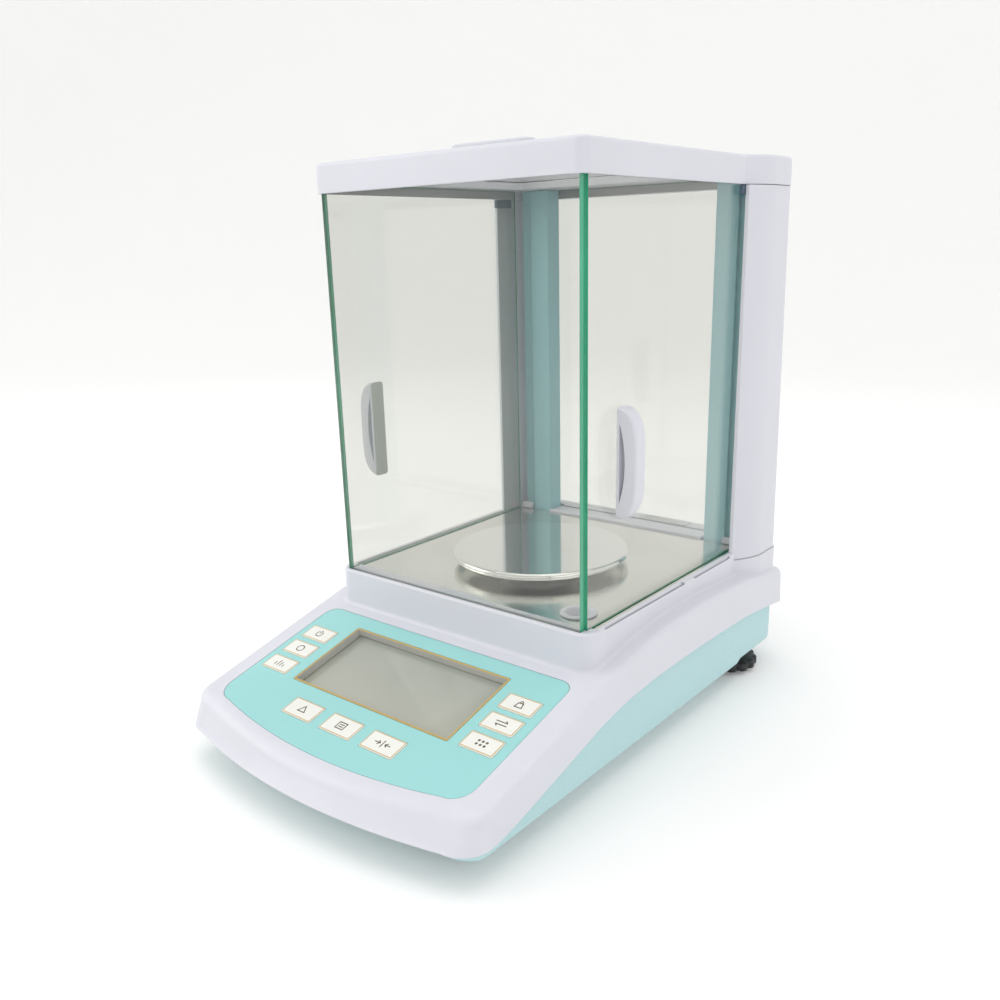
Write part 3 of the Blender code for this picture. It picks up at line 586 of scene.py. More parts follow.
FRONT_STEPS = 12
CORNER_STEPS = 12
SIDE_STATIONS = [-92.0 + 6.0 * k for k in range(14)]
NOSE_STATIONS = [-5.0, -3.0, -1.0, 1.0, 3.0, 5.0, 7.0, 9.0]
WALL_STATIONS = [14.0 + 9.0 * k for k in range(16)] + [153.5]
EAR_STATIONS = [156.5, 157.8, 160.0, 162.5, 163.8] + [165.5 + 2.15 * k for k in range(11)] + [195.0, 201.0]
SIDE_TURN = SIDE_STATIONS + NOSE_STATIONS + WALL_STATIONS + EAR_STATIONS
REAR_STEPS = 8


def mirrored(half):
    return half + [(-p[0], *p[1:]) for p in reversed(half[1:-1])]


def base_outline(side, front, rear, rear_r=REAR_CORNER_R):
    """The base's outline moved in by side, front and rear. The third value of a point is its frontness."""
    turn_x = HALF_FRONT - CORNER_R
    turn_y = FRONT_Y + turn_x * turn_x / (2 * FRONT_BOW) + CORNER_R
    half_ring = []
    for k in range(FRONT_STEPS + 1):
        x = turn_x * k / FRONT_STEPS
        half_ring.append((x, FRONT_Y + front + x * x / (2 * FRONT_BOW), 1.0))
    turn = corner(turn_x, turn_y, CORNER_R - side, CORNER_R - front, -pi / 2, 0.0, CORNER_STEPS)
    for k, (x, y) in enumerate(turn):
        half_ring.append((x, y, (0.5 + 0.5 * cos(pi * (k + 1) / CORNER_STEPS)) ** 1.6))
    span = REAR_Y - turn_y
    last = REAR_Y - rear_r
    for y in SIDE_TURN:
        x = HALF_FRONT - side + (HALF_REAR - HALF_FRONT) * (y - turn_y) / span
        half_ring.append((x, min(y, last), 0.0))
    cx = HALF_REAR - rear_r
    for x, y in corner(cx, last, rear_r - side, rear_r - rear, 0.0, pi / 2, REAR_STEPS):
        half_ring.append((x, y, 0.0))
    for k in range(1, 4):
        half_ring.append((cx * (1 - k / 3), REAR_Y - rear, 0.0))
    return mirrored(half_ring)


def ear_bulge(y, narrow, wide, span, dip):
    """The side wall's half width: straight, a shallow valley before the ear, then the ear's swell."""
    start, end = span
    if y <= start:
        return narrow - dip * max(0.0, 1.0 - (start - y) / 6.0)
    return narrow - dip + (wide - narrow + dip) * sin(0.5 * pi * min(1.0, (y - start) / (end - start)))


def spread_at(y):
    """The plinth's walls open slightly to the back."""
    return PLINTH_SPREAD * min(1.0, max(0.0, (y - 12.0) / 138.0))


def walled_outline(half, wide, front, rear, radius, rear_radius, bulge):
    """An outline with round front corners, and an ear of half width wide round each rear pillar."""
    turn_x = half - radius
    count = FRONT_STEPS + CORNER_STEPS
    edge = [(turn_x * k / count, front) for k in range(count + 1)]
    sides = corner(turn_x, front + radius, radius, radius, -pi / 2, 0.0, len(SIDE_STATIONS))
    nose = [(half, y) for y in sweep(front + radius, 12.0, len(NOSE_STATIONS))]
    ears = [(bulge(y), y) for y in WALL_STATIONS + EAR_STATIONS]
    turn_x = wide - rear_radius
    turn = corner(turn_x, rear - rear_radius, rear_radius, rear_radius, 0.0, pi / 2, REAR_STEPS)
    return mirrored(edge + sides + nose + ears + turn + [(turn_x * (1 - k / 3), rear) for k in range(1, 4)])


def plinth_outline(grow):
    """The plinth's outline, moved out by grow. Its ears and rear grow less, to stay on the deck."""
    ear_grow = grow if grow < 0 else EAR_GROW * grow
    half = PLINTH_HALF + grow
    wide = EAR_HALF + ear_grow
    return walled_outline(
        half, wide, PLINTH_FRONT - grow, PLINTH_REAR + ear_grow,
        PLINTH_CORNER + grow, max(10.0 + ear_grow, 1.0),
        lambda y: ear_bulge(y, half + spread_at(y), wide, EAR_Y, 1.2),
    )


def top_outline(grow):
    half = TOP_HALF + grow
    wide = TOP_EAR_HALF + grow
    return walled_outline(
        half, wide, TOP_FRONT - grow, TOP_REAR + grow, 6.0 + grow, 10.0 + grow,
        lambda y: ear_bulge(y, half, wide, TOP_EAR_Y, 0.0),
    )


def at_height(outline, height):
    return [(p[0], p[1], height(*p[1:]) if callable(height) else height) for p in outline]


def shoulder_rings():
    """The round edge between the deck and the sides. In front it is a softer crease over a sloping face."""
    rings = []
    sides = ((4.2, 0.0), (3.3, 0.15), (2.45, 0.55), (1.7, 1.2), (1.1, 2.2), (0.75, 3.7), (0.6, 5.5))
    fronts = ((14.5, 0.0), (12.0, 0.25), (10.0, 0.75), (8.5, 1.5), (7.4, 2.5), (6.6, 3.7), (5.9, 5.1))
    for (side, drop), (front, fall) in zip(sides, fronts):
        outline = base_outline(side, front, side)
        rings.append(at_height(outline, lambda y, w, d=drop, f=fall: deck_z(y) - d * (1 - w) - f * w))
    return rings


def skirt_rings():
    """The sides down to the split line, and a small round lip on it."""
    rings = []
    steps = (
        (0.3, 2.2, 7.0, 2.8), (0.05, 0.35, 1.2, 1.0), (0.0, 0.0, 0.5, 0.5),
        (0.15, 0.15, 0.12, 0.12), (0.5, 0.5, 0.0, 0.0),
    )
    for side, front, lift, front_lift in steps:
        outline = base_outline(side, front, side)
        rings.append(at_height(outline, lambda y, w, a=lift, b=front_lift: split_z(y) + a * (1 - w) + b * w))
    return rings


def make_upper_shell():
    wall = SHELL_WALL
    rings = []
    for k in range(6):
        angle = k * pi / 10
        rings.append(at_height(plinth_outline(-1.8 + 1.8 * sin(angle)), -1.8 + 1.8 * cos(angle)))
    for k in range(7):
        angle = k * pi / 12
        grow = 0.1 + FILLET * (1 - cos(angle))
        rings.append(at_height(plinth_outline(grow), lambda y, a=angle: deck_z(y) + FILLET * (1 - sin(a))))
    rings += shoulder_rings()
    rings += skirt_rings()
    rings.append(at_height(base_outline(wall, wall, wall), lambda y, w: split_z(y)))
    inside = base_outline(wall + 0.6, wall + 6.0, wall + 0.6)
    rings.append(at_height(inside, lambda y, w: max(split_z(y) + 1.5, deck_z(y) - 8.0)))
    rings.append(at_height(base_outline(8.0, 14.0, 8.0), lambda y, w: deck_z(y) - wall))
    rings.append(at_height(plinth_outline(-1.2), lambda y: deck_z(y) - wall))
    rings.append(at_height(plinth_outline(-2.4), LEDGE_Z - wall))
    shell = loft("shell", rings, "white")
    combine(shell, shell_cutters())
    weighted(shell)
    return put(shell, "base", "white_plastic", "upper_shell")


def tray_side(sign, step):
    """One side of the tray, from its front edge at y = step round to the middle of its rear."""
    groove = DOOR_IN - GAP
    outer = DOOR_OUT + GAP
    line = [
        (groove, step), (groove, 4.0), (outer, 4.0), (outer, step), (CHAMBER_HALF, step),
        (CHAMBER_HALF, BEYOND), (groove, BEYOND), (groove, COLUMN_Y[1] + GAP),
        (COLUMN_IN - GAP, COLUMN_Y[1] + GAP), (COLUMN_IN - GAP, SILL_Y[1] + GAP),
    ]
    return [(sign * x, y) for x, y in line]


def tray_outline():
    """The chamber floor with its stepped front edge, the door grooves and the column sockets."""
    front = [(x, y - GAP) for x, y in PLATE_STEP]
    return front + tray_side(1, front[-1][1]) + list(reversed(tray_side(-1, front[0][1])))


def slot_outline(sign, y0, y1, x0=95.1, x1=96.1):
    """A narrow slot that follows the plinth's wall."""
    corners = ((x0, y0), (x1, y0), (x1, y1), (x0, y1))
    return [(sign * (x + spread_at(y)), y) for x, y in corners]


def shell_cutters():
    cutters = [
        prism("tray", tray_outline(), FLOOR_DROP, 5, "white"),
        box("front_groove", (-88.8, -GAP, FLOOR_DROP - 0.6), (88.8, 4.3, 5)),
    ]
    for sign in (-1, 1):
        inner, outer = sorted((sign * (CHAMBER_HALF - 0.2), sign * 125))
        cutters.append(box("ledge", (inner, COVER_FRONT - 0.4, LEDGE_Z), (outer, BEYOND + 2, 5)))
        for y0, y1 in ((12.5, 97.0), (109.0, 156.0)):
            cutters.append(prism("slot", slot_outline(sign, y0, y1), -3.4, 5, "dark"))
            notch = slot_outline(sign, y1 - 2.4, y1 + 0.5, 94.2, 95.7)
            cutters.append(prism("notch", notch, -3.0, 5, "dark"))
    low, high = BACK_GLASS_Y
    half = BACK_GLASS_HALF + GAP
    cutters.append(box("back_groove", (-half, low - GAP, FLOOR_DROP + 0.5), (half, high + GAP, 5)))
    cutters.append(cylinder("spindle_hole", (0, PAN_Y), SPINDLE_HOLE, -30, 5))
    cutters.append(cylinder("level_hole", (LEVEL_X, LEVEL_Y), LEVEL_HOLE, -30, 5))
    cutters.append(prism("window", lcd_outline(-0.8, 1.5), -12, 4, "dark", panel_point))
    cutters.append(prism("pocket", overlay_outline(0.25), -1.2, 4, "white", panel_point))
    for _, x, s, size in key_places():
        cutters.append(prism("hole", key_outline(x, s, size, GAP), -12, 4, "dark", panel_point))
    return cutters


def make_lower_casing():
    wall = 2.4
    nest = SHELL_WALL + GAP
    rear = 5.5
    rings = [at_height(base_outline(nest + 9.0, 24.0, rear + 9.0, 26.0), lambda y, w: casing_bottom(y))]
    round_edge = ((2.4, 8.6, 1.6, 0.0), (1.1, 7.5, 0.8, 0.5), (0.35, 6.6, 0.25, 1.4), (0.0, 6.1, 0.0, 2.8))
    for side, front, back, lift in round_edge:
        outline = base_outline(nest + side, front, rear + back, 24.0)
        rings.append(at_height(outline, lambda y, w, up=lift: casing_bottom(y) + up * (1 - 0.55 * w)))
    inner = nest + wall
    walls = (
        (nest, 5.8, rear, 24.0, split_z, -0.2),
        (nest, 6.1, rear, 24.0, split_z, 3.0),
        (inner, 6.1 + wall, rear + wall, 24.0, split_z, 3.0),
        (inner, 12.0, rear + wall, 24.0, casing_bottom, 3.8),
        (inner + 4.0, 20.0, rear + wall + 3.0, 26.0, casing_bottom, wall),
    )
    for side, front, back, radius, line, lift in walls:
        outline = base_outline(side, front, back, radius)
        rings.append(at_height(outline, lambda y, w, height=line, up=lift: height(y) + up))
    casing = loft("casing", rings, "casing")
    cutters = []
    for window in (INLET_WINDOW, DATA_WINDOW):
        cutters.append(prism("socket", rounded(*window, 1.2, 3), 195, 235, "casing", facing_back))
    for y in VENT_ROWS:
        cutters.append(prism("vent", rounded(-40, 40, y, y + 4, 1.9, 4), -80, -60, "casing"))
    for sign in (-1, 1):
        cutters.append(cylinder("stud_hole", (sign * FOOT_X, FOOT_Y), 4.6, -80, -60, "casing"))
        for x, y in CASING_SCREWS:
            cutters.append(cylinder("screw_hole", (sign * x, y), 2.6, -80, -60, "casing", 24))
    combine(casing, cutters)
    weighted(casing)
    return put(casing, "base", "teal_plastic", "lower_casing")


# ---------------------------------------------------------------- control panel


def overlay_outline(grow):
    half = OVERLAY_HALF + grow
    back = -grow
    radius = 8.0 + grow
    front_r = 12.0 + grow
    turn_x = half - front_r
    across = [turn_x * k / 10 for k in range(11)]
    bow = [(x, OVERLAY_DEPTH + grow - x ** 2 / (2 * OVERLAY_BOW)) for x in across]
    front_s = bow[-1][1] - front_r
    half_ring = [(0.0, back), (half - radius, back)]
    half_ring += corner(half - radius, back + radius, radius, radius, -pi / 2, 0.0, 10)
    half_ring += [(half, front_s)]
    half_ring += corner(turn_x, front_s, front_r, front_r, 0.0, pi / 2, 10)
    half_ring += list(reversed(bow[:-1]))
    return [(x + OVERLAY_X, s) for x, s in mirrored(half_ring)]


def lcd_outline(inset, radius, steps=6):
    """The display window's outline, moved in by inset."""
    x0, x1 = LCD_X[0] + inset, LCD_X[1] - inset
    return rounded(x0, x1, LCD_S[0] + inset, LCD_S[1] - inset, radius, steps)


def key_places():
    """Each key's name, centre on the panel and size."""
    sides = (("key_on", "key_off", "key_integration"), ("key_calibrate", "key_unit", "key_count"))
    front = ("key_sensitivity", "key_print", "key_tare")
    places = []
    for x, names in zip(SIDE_KEYS_X, sides):
        places += [(name, x, s, SIDE_KEY) for name, s in zip(names, SIDE_KEYS_S)]
    return places + [(name, x, FRONT_KEYS_S, FRONT_KEY) for name, x in zip(front, FRONT_KEYS_X)]


def key_outline(x, s, size, grow):
    half_x = size[0] / 2 + grow
    half_s = size[1] / 2 + grow
    return rounded(x - half_x, x + half_x, s - half_s, s + half_s, max(1.0 + grow, 0.12), 4)


def bar(x0, y0, x1, y1, width=0.55):
    """A short printed stroke as a thin quad."""
    along = Vector((x1 - x0, y1 - y0)).normalized() * (width / 2)
    side = Vector((-along.y, along.x))
    ends = (Vector((x0, y0)) - along, Vector((x1, y1)) + along)
    return [tuple(ends[0] - side), tuple(ends[1] - side), tuple(ends[1] + side), tuple(ends[0] + side)]


def arc(cx, cy, radius, start, end, width=0.55, steps=14):
    """A printed arc, as short quads."""
    quads = []
    for k in range(steps):
        a, b = (radians(start + (end - start) * (k + j) / steps) for j in (0, 1))
        inner, outer = radius - width / 2, radius + width / 2
        ring = ((inner, a), (outer, a), (outer, b), (inner, b))
        quads.append([(cx + r * cos(t), cy + r * sin(t)) for r, t in ring])
    return quads


def strokes(*lines):
    return [bar(*line) for line in lines]


def key_signs():
    """A plain pictogram for each key, in millimetres from its centre, +y to the back."""
    dots = [arc(x, y, 0.35, 0, 360, 0.7, 8) for x in (-2.2, 0.0, 2.2) for y in (-1.1, 1.1)]
    return {
        "key_on": arc(0, 0, 2.0, -240, 60) + strokes((0, 0.4, 0, 2.7)),
        "key_off": arc(0, 0, 2.1, 0, 360, steps=22),
        "key_integration": strokes(
            (-2.9, -1.6, -2.9, 0.2), (-0.95, -1.6, -0.95, 1.9),
            (0.95, -1.6, 0.95, 1.0), (2.9, -1.6, 2.9, -0.3),
        ),
        "key_sensitivity": strokes((-2.3, -1.6, 2.3, -1.6), (-2.3, -1.6, 0, 2.1), (2.3, -1.6, 0, 2.1)),
        "key_print": strokes(
            (-2.4, -1.9, 2.4, -1.9), (-2.4, 2.0, 2.4, 2.0), (-2.4, -1.9, -2.4, 2.0), (2.4, -1.9, 2.4, 2.0),
            (-1.2, 0.7, 1.2, 0.7), (-1.2, -0.6, 1.2, -0.6),
        ),
        "key_tare": strokes(
            (-4.4, 0, -1.6, 0), (-2.6, 1.0, -1.6, 0), (-2.6, -1.0, -1.6, 0),
            (4.4, 0, 1.6, 0), (2.6, 1.0, 1.6, 0), (2.6, -1.0, 1.6, 0), (0, -1.9, 0, 1.9),
        ),
        "key_calibrate": strokes(
            (-1.9, -1.9, 1.9, -1.9), (-1.9, -1.9, -1.3, 0.9), (1.9, -1.9, 1.3, 0.9), (-1.3, 0.9, 1.3, 0.9),
        ) + arc(0, 1.6, 0.7, 0, 360, 0.5, 10),
        "key_unit": strokes(
            (-3.2, 0.9, 2.6, 0.9), (1.6, 1.9, 2.6, 0.9), (-2.6, -0.9, 3.2, -0.9), (-1.6, -1.9, -2.6, -0.9),
        ),
        "key_count": [quad for dot in dots for quad in dot],
    }


def make_keys():
    """Each key is a low cushion with a tan border line and a printed sign."""
    signs = key_signs()
    levels = ((0.0, KEY_BOTTOM), (0.0, 0.16), (0.1, 0.34), (0.3, 0.44), (1.0, 0.5), (1.25, 0.46), (1.8, 0.5))
    for name, x, s, size in key_places():
        rings = []
        for shrink, lift in levels:
            rings.append([panel_point(px, ps, lift) for px, ps in key_outline(x, s, size, -shrink)])
        count = len(rings[0])
        points = [p for ring in rings for p in ring]
        faces = [tuple(range(count)), tuple(range((len(rings) - 1) * count, len(rings) * count))]
        marks = [0, 0]
        for k in range(len(rings) - 1):
            for i in range(count):
                j = (i + 1) % count
                faces.append((k * count + i, k * count + j, (k + 1) * count + j, (k + 1) * count + i))
                marks.append(1 if k == 3 else 0)
        for quad in signs[name]:
            start = len(points)
            for lift in (0.47, 0.53):
                points += [panel_point(x + 1.15 * qx, s - 1.15 * qy, lift) for qx, qy in quad]
            faces += [(start + 3, start + 2, start + 1, start), (start + 4, start + 5, start + 6, start + 7)]
            for i in range(4):
                j = (i + 1) % 4
                faces.append((start + i, start + j, start + 4 + j, start + 4 + i))
            marks += [2] * 6
        key = solid(name + "_cap_face", points, faces, ["key", "key_border", "key_mark"], marks)
        put(key, name + "_cap", "key", name)


def make_panel():
    rings = []
    for shrink, lift in ((0.0, -0.9), (0.0, -0.28), (0.06, -0.12), (0.22, -0.03), (0.5, 0.0)):
        rings.append([panel_point(x, s, lift) for x, s in overlay_outline(-shrink)])
    overlay = loft("overlay", rings, "overlay", flat_caps=True)
    cutters = [prism("window", lcd_outline(0.0, 1.2), -3, 3, "overlay", panel_point)]
    for _, x, s, size in key_places():
        cutters.append(prism("hole", key_outline(x, s, size, GAP), -3, 3, "overlay", panel_point))
    combine(overlay, cutters)
    weighted(overlay)
    put(overlay, "base", "overlay", "keypad_overlay")
    make_keys()
    make_display()


def make_display():
    rings = []
    edge = ((0.25, -LCD_DEPTH), (0.25, 0.0), (0.35, 0.1), (1.35, 0.1), (1.5, 0.0), (1.6, -LCD_DEPTH))
    for inset, lift in edge:
        rings.append([panel_point(x, s, lift) for x, s in lcd_outline(inset, 1.2 - 0.3 * inset, 4)])
    bezel = loft("display_border", rings, "gold", closed=True)
    bezel.data.materials.append(LOOKS["display_wall"])
    down = Vector(panel_point(0, 0, -1)) - Vector(panel_point(0, 0, 0))
    for face in bezel.data.polygons:
        face.material_index = 1 if abs(face.normal.dot(down)) < 0.5 else 0
    put(bezel, "base", "gold", "lcd_bezel")
    levels = ((-2.5, -9.5), (-2.5, -5.6), (-2.0, -LCD_DEPTH - GAP))
    glass = cushion("display", lambda inset: lcd_outline(inset, 1.4, 3), levels, "display", panel_point)
    put(glass, "base", "display", "lcd_module")


# ---------------------------------------------------------------- chamber


def pane(name, body, node):
    """A float glass pane on a CAD node's box: clear faces, and green ground edges with small bevels."""
    low, high = node_corners(node)
    spans = [high[i] - low[i] for i in range(3)]
    thin = spans.index(min(spans))
    glass = box(name, low, high, "glass")
    glass.data.materials.append(LOOKS["glass_edge"])
    for face in glass.data.polygons:
        face.material_index = 0 if abs(face.normal[thin]) > 0.9 else 1
    bevelled(glass, 0.22)
    glass.modifiers["edges"].material = 1
    return put(glass, body, "glass", node)


def make_glass():
    pane("front_pane", "base", "front_glass")
    pane("back_pane", "base", "back_glass")
    for side, sign in (("left", -1), ("right", 1)):
        pane(side + "_door_pane", side + "_door", side + "_door_glass")
        make_handle(side, sign)


def make_handle(side, sign):
    """A D-shaped blade with round ends, a crescent finger gap, and a pad between it and the glass."""
    low, high = node_corners(side + "_door_handle")
    y0, y1 = low.y, high.y
    foot = DOOR_OUT + GAP
    middle = (low.z + high.z) / 2
    reach = (high.z - low.z) / 2
    steps = 28
    rings = []
    depth = (y1 - y0) / 2
    edge = ((1.6, 1.0), (0.75, 0.93), (0.25, 0.8), (0.0, 0.6))
    for shrink, off in edge + tuple((shrink, -off) for shrink, off in reversed(edge)):
        outline = [(foot, middle - reach + shrink)]
        for k in range(steps + 1):
            angle = -pi / 2 + pi * k / steps
            flat = max(1 - abs(sin(angle)) ** 4.5, 0.0) ** 0.62
            x = foot + 1.2 + (HANDLE_PROUD - 1.2 - shrink) * flat
            outline.append((x, middle + (reach - shrink) * sin(angle)))
        outline.append((foot, middle + reach - shrink))
        y = (y0 + y1) / 2 + depth * off
        rings.append([(sign * x, y, z) for x, z in outline])
    blade = loft("blade", rings, "white_cover", flat_caps=True)
    gap = []
    for k in range(17):
        t = -1 + k / 8
        gap.append((sign * (foot + 1.5 + 3.4 * (1 - t * t)), middle + 21.5 * t))
    slot = prism("finger_gap", gap, y0 - 2, y1 + 2, "white_cover", facing_back)
    combine(blade, [slot])
    blade.name = side + "_door_grip"
    weighted(blade)
    put(blade, side + "_door", "white_plastic", side + "_door_handle")
    face = sorted((sign * (DOOR_OUT + 0.02), sign * (DOOR_OUT + 0.28)))
    outline = rounded(y0 + 0.2, y1 - 0.2, low.z + 0.6, high.z - 0.6, 1.5, 4)
    pad = prism(side + "_door_pad", outline, face[0], face[1], "tape", lambda y, z, x: (x, y, z))
    put(pad, side + "_door", "white_plastic")


def make_columns():
    """Extruded columns: a recessed outer part, a rebate for the back glass, and a thin dark strip beside
    each.
    """
    y0, y1 = COLUMN_Y
    lip = BACK_GLASS_Y[0] - GAP
    rebate = BACK_GLASS_HALF + 2 * GAP
    right = [
        (COLUMN_IN, y0), (COLUMN_STEP, y0), (COLUMN_STEP, y0 + 2.5), (COLUMN_OUT, y0 + 2.5),
        (COLUMN_OUT, y1), (rebate, y1), (rebate, lip), (COLUMN_IN, lip),
    ]
    for side, sign in (("left", -1), ("right", 1)):
        low, high = node_corners(side + "_column")
        column = prism(side + "_post", [(sign * x, y) for x, y in right], low.z, high.z, "column")
        bevelled(column, 0.4, 2)
        put(column, "base", "teal_paint", side + "_column")
        inner, outer = sorted((sign * (COVER_IN - 0.35), sign * (COVER_IN - 0.02)))
        # A thin dark strip on the cover's inner face, beside the column.
        dark_strip = box(side + "_dark_strip", (inner, 196.0, LEDGE_Z + 3), (outer, 200.5, SKIRT_Z - 1), "dark")
        put(bevelled(dark_strip, 0.1, 1), "base", "black_plastic")
        inner, outer = sorted((sign * (DOOR_OUT + 0.6), sign * (COVER_IN - 0.3)))
        stop = box(side + "_door_stop", (inner, 159.5, 218.6), (outer, 176.0, SKIRT_Z - 0.2), "dark_blue")
        put(bevelled(stop, 0.3, 2), "base", "black_plastic")


def cover_outline(wide, wall, front, stations):
    """A pillar cover's outline, moved in by wall: a flat inner side and a swelling outer one."""
    inner = COVER_IN + wall
    rear = TOP_REAR - 0.6 - wall
    start = (COVER_FRONT + 0.6, EAR_Y[1])
    side = [(ear_bulge(y, COVER_IN + 2.4, wide, start, 0.0) - wall, y) for y in stations]
    radius = 9.0 - wall
    turn = corner(wide - wall - radius, rear - radius, radius, radius, 0.0, pi / 2, 8)
    nose = [(inner, front), (inner + 1.4 - 0.5 * wall, front), (inner + 2.1 - 0.8 * wall, front + 0.25)]
    return nose + side + turn + [(inner, rear)]


def make_pillar_covers():
    low = LEDGE_Z + GAP
    high = SKIRT_Z - GAP
    slope = (COVER_HALF[0] - COVER_HALF[1]) / (high - low)
    skin = (0.0, COVER_FRONT, [163.9 + 1.65 * k for k in range(15)] + [191, 197, 203.4])
    hollow = (2.0, 172.0, [172.6 + 0.6 * k for k in range(11)] + [180, 181.5, 183.5, 185.5, 188, 194, 203.4])
    for side, sign in (("left", -1), ("right", 1)):
        rings = []
        for line, heights in ((skin, (low, low + 0.5, high - 0.5, high)), (hollow, (high, low))):
            for z in heights:
                wide = COVER_HALF[0] - slope * (z - low)
                rings.append([(sign * x, y, z) for x, y in cover_outline(wide, *line)])
        cover = loft(side + "_cover", rings, "white_cover", closed=True)
        weighted(cover)
        put(cover, "base", "white_plastic", side + "_pillar_cover")


def make_floor():
    """The steel plate with its stepped front edge and soft arrises, the sill and the clips."""
    edge = CHAMBER_HALF - GAP
    front = list(PLATE_STEP)
    outline = front + [(edge, front[-1][1]), (edge, 180.0), (-edge, 180.0), (-edge, front[0][1])]
    plate = prism("chamber_floor", outline, FLOOR_DROP + GAP, FLOOR_TOP, "floor")
    holes = [
        cylinder("spindle_hole", (0, PAN_Y), SPINDLE_HOLE - 1.0, -10, 5, "floor"),
        cylinder("level_hole", (LEVEL_X, LEVEL_Y), LEVEL_HOLE, -10, 5, "floor"),
    ]
    combine(plate, holes)
    bevelled(plate, 0.25, 2)
    put(plate, "base", "steel", "floor_plate")
    sill = box("chamber_sill", *node_corners("rear_sill"))
    put(bevelled(sill, 0.5, 3), "base", "white_plastic", "rear_sill")
    for side in ("left", "right"):
        clip = box(side + "_clip", *node_corners(side + "_rear_clip"))
        put(bevelled(clip, 0.8, 3), "base", "white_plastic", side + "_rear_clip")


def make_pan():
    """A flat dish whose edge is rolled under, with a fold line round the roll, and its carrier under it."""
    low = PAN_TOP - 1.2
    rim_x = PAN_RADIUS - PAN_ROLL
    rim_z = PAN_TOP - PAN_ROLL
    profile = [(0, low), (rim_x - 2.4, low), (rim_x - 2.0, low - 0.4)]
    for k in range(45):
        angle = 208 + 242 * k / 44
        radius = PAN_ROLL - 0.22 * max(0.0, 1.0 - abs(angle - 352.0) / 6.0)
        profile.append((rim_x + radius * cos(radians(angle)), rim_z + radius * sin(radians(angle))))
    profile += [(rim_x - 1.5, PAN_TOP), (0, PAN_TOP)]
    pan = turned("pan_dish", profile, (0, PAN_Y), "pan", 160, smooth=40.0)
    weighted(pan)
    put(pan, "pan", "steel", "weighing_pan")
    profile = [(0, -33.6), (3.6, -33.6), (4, -33.2), (4, -8), (8, -3), (8, 1.2), (9.0, 2.2)]
    profile += [(25.4, 5.0), (26, 5.4), (26, low - 0.6), (25.7, low - GAP), (0, low - GAP)]
    carrier = turned("pan_spindle", profile, (0, PAN_Y), "aluminium", 64)
    put(carrier, "pan_carrier", "aluminium", "pan_support")


def make_level():
    """The bubble level: a white flanged ring with a sloping throat round a small vial."""
    top = FLOOR_TOP + 1.5
    under = FLOOR_TOP + GAP
    profile = [(9.2, under), (9.2, top - 0.5), (9.05, top - 0.2), (8.75, top), (7.2, top), (6.7, top - 0.25)]
    profile += [(6.3, top - 0.9), (5.0, -3.6), (4.8, -4.1), (4.8, -9.5), (7.6, -9.5), (7.6, under)]
    ring = turned("level_collar", profile, (LEVEL_X, LEVEL_Y), "white", 72, ring=True, smooth=30.0)
    put(ring, "base", "white_plastic", "level_ring")
    dome = [(0, -9.3), (4.6, -9.3), (4.6, -5.7), (4.45, -5.35), (3.9, -5.15), (2.2, -5.05), (0, -5.0)]
    # The vial's dark tint is painted shade of the hole, laid over its own green.
    vial = turned("level_bubble_vial", dome, (LEVEL_X, LEVEL_Y), "vial", 48)
    put(vial, "base", "glass", "level_vial")
    circle = [(2.3, -4.98), (2.6, -4.98), (2.6, -4.9), (2.3, -4.9)]
    marks = turned("level_circle", circle, (LEVEL_X, LEVEL_Y), "key_mark", 40, ring=True)
    put(marks, "base", "white_plastic")
    drop = [(0, -6.4), (1.0, -6.25), (1.7, -5.9), (1.8, -5.6), (1.5, -5.35), (0, -5.2)]
    bubble = turned("level_bubble", drop, (LEVEL_X + 0.4, LEVEL_Y - 0.3), "glass", 32)
    put(bubble, "base", "glass")


# ---------------------------------------------------------------- top


def make_top_frame():
    rings = []
    edge = (
        (-0.6, 0.0), (-0.15, 0.15), (0.0, 0.6), (-0.25, 14.1), (-0.45, 15.0), (-0.95, 15.75), (-1.7, 16.28),
        (-2.6, 16.5),
    )
    for grow, rise in edge:
        rings.append(at_height(top_outline(grow), SKIRT_Z + rise))
    frame_top = loft("top", rings, "white_cover")
    ceiling = GLASS_TOP + GAP
    room = DOOR_OUT + 2 * GAP
    half = BACK_GLASS_HALF + GAP
    cutters = [
        box("chamber", (-room, -GAP, 200), (room, 182.6, ceiling)),
        prism("throat", rounded(-74, 74, 16.0, 166.0, 3.0), 200, 260, "white_cover"),
        box("door_channel", (-78.9, 12.0, 234.2), (78.9, 240, 237.8)),
        box("back_groove", (-half, 182.0, 200), (half, BACK_GLASS_Y[1] + GAP, ceiling)),
    ]
    for sign in (-1, 1):
        low, high = sorted((sign * (COLUMN_IN - GAP), sign * room))
        cutters.append(box("socket", (low, 182.0, 200), (high, COLUMN_Y[1] + GAP, ceiling)))
        low, high = sorted((sign * (DOOR_IN - GAP), sign * room))
        cutters.append(box("door_slot", (low, 182.0, 200), (high, 240, ceiling)))
    combine(frame_top, cutters)
    weighted(frame_top)
    put(frame_top, "base", "white_plastic", "top_frame")


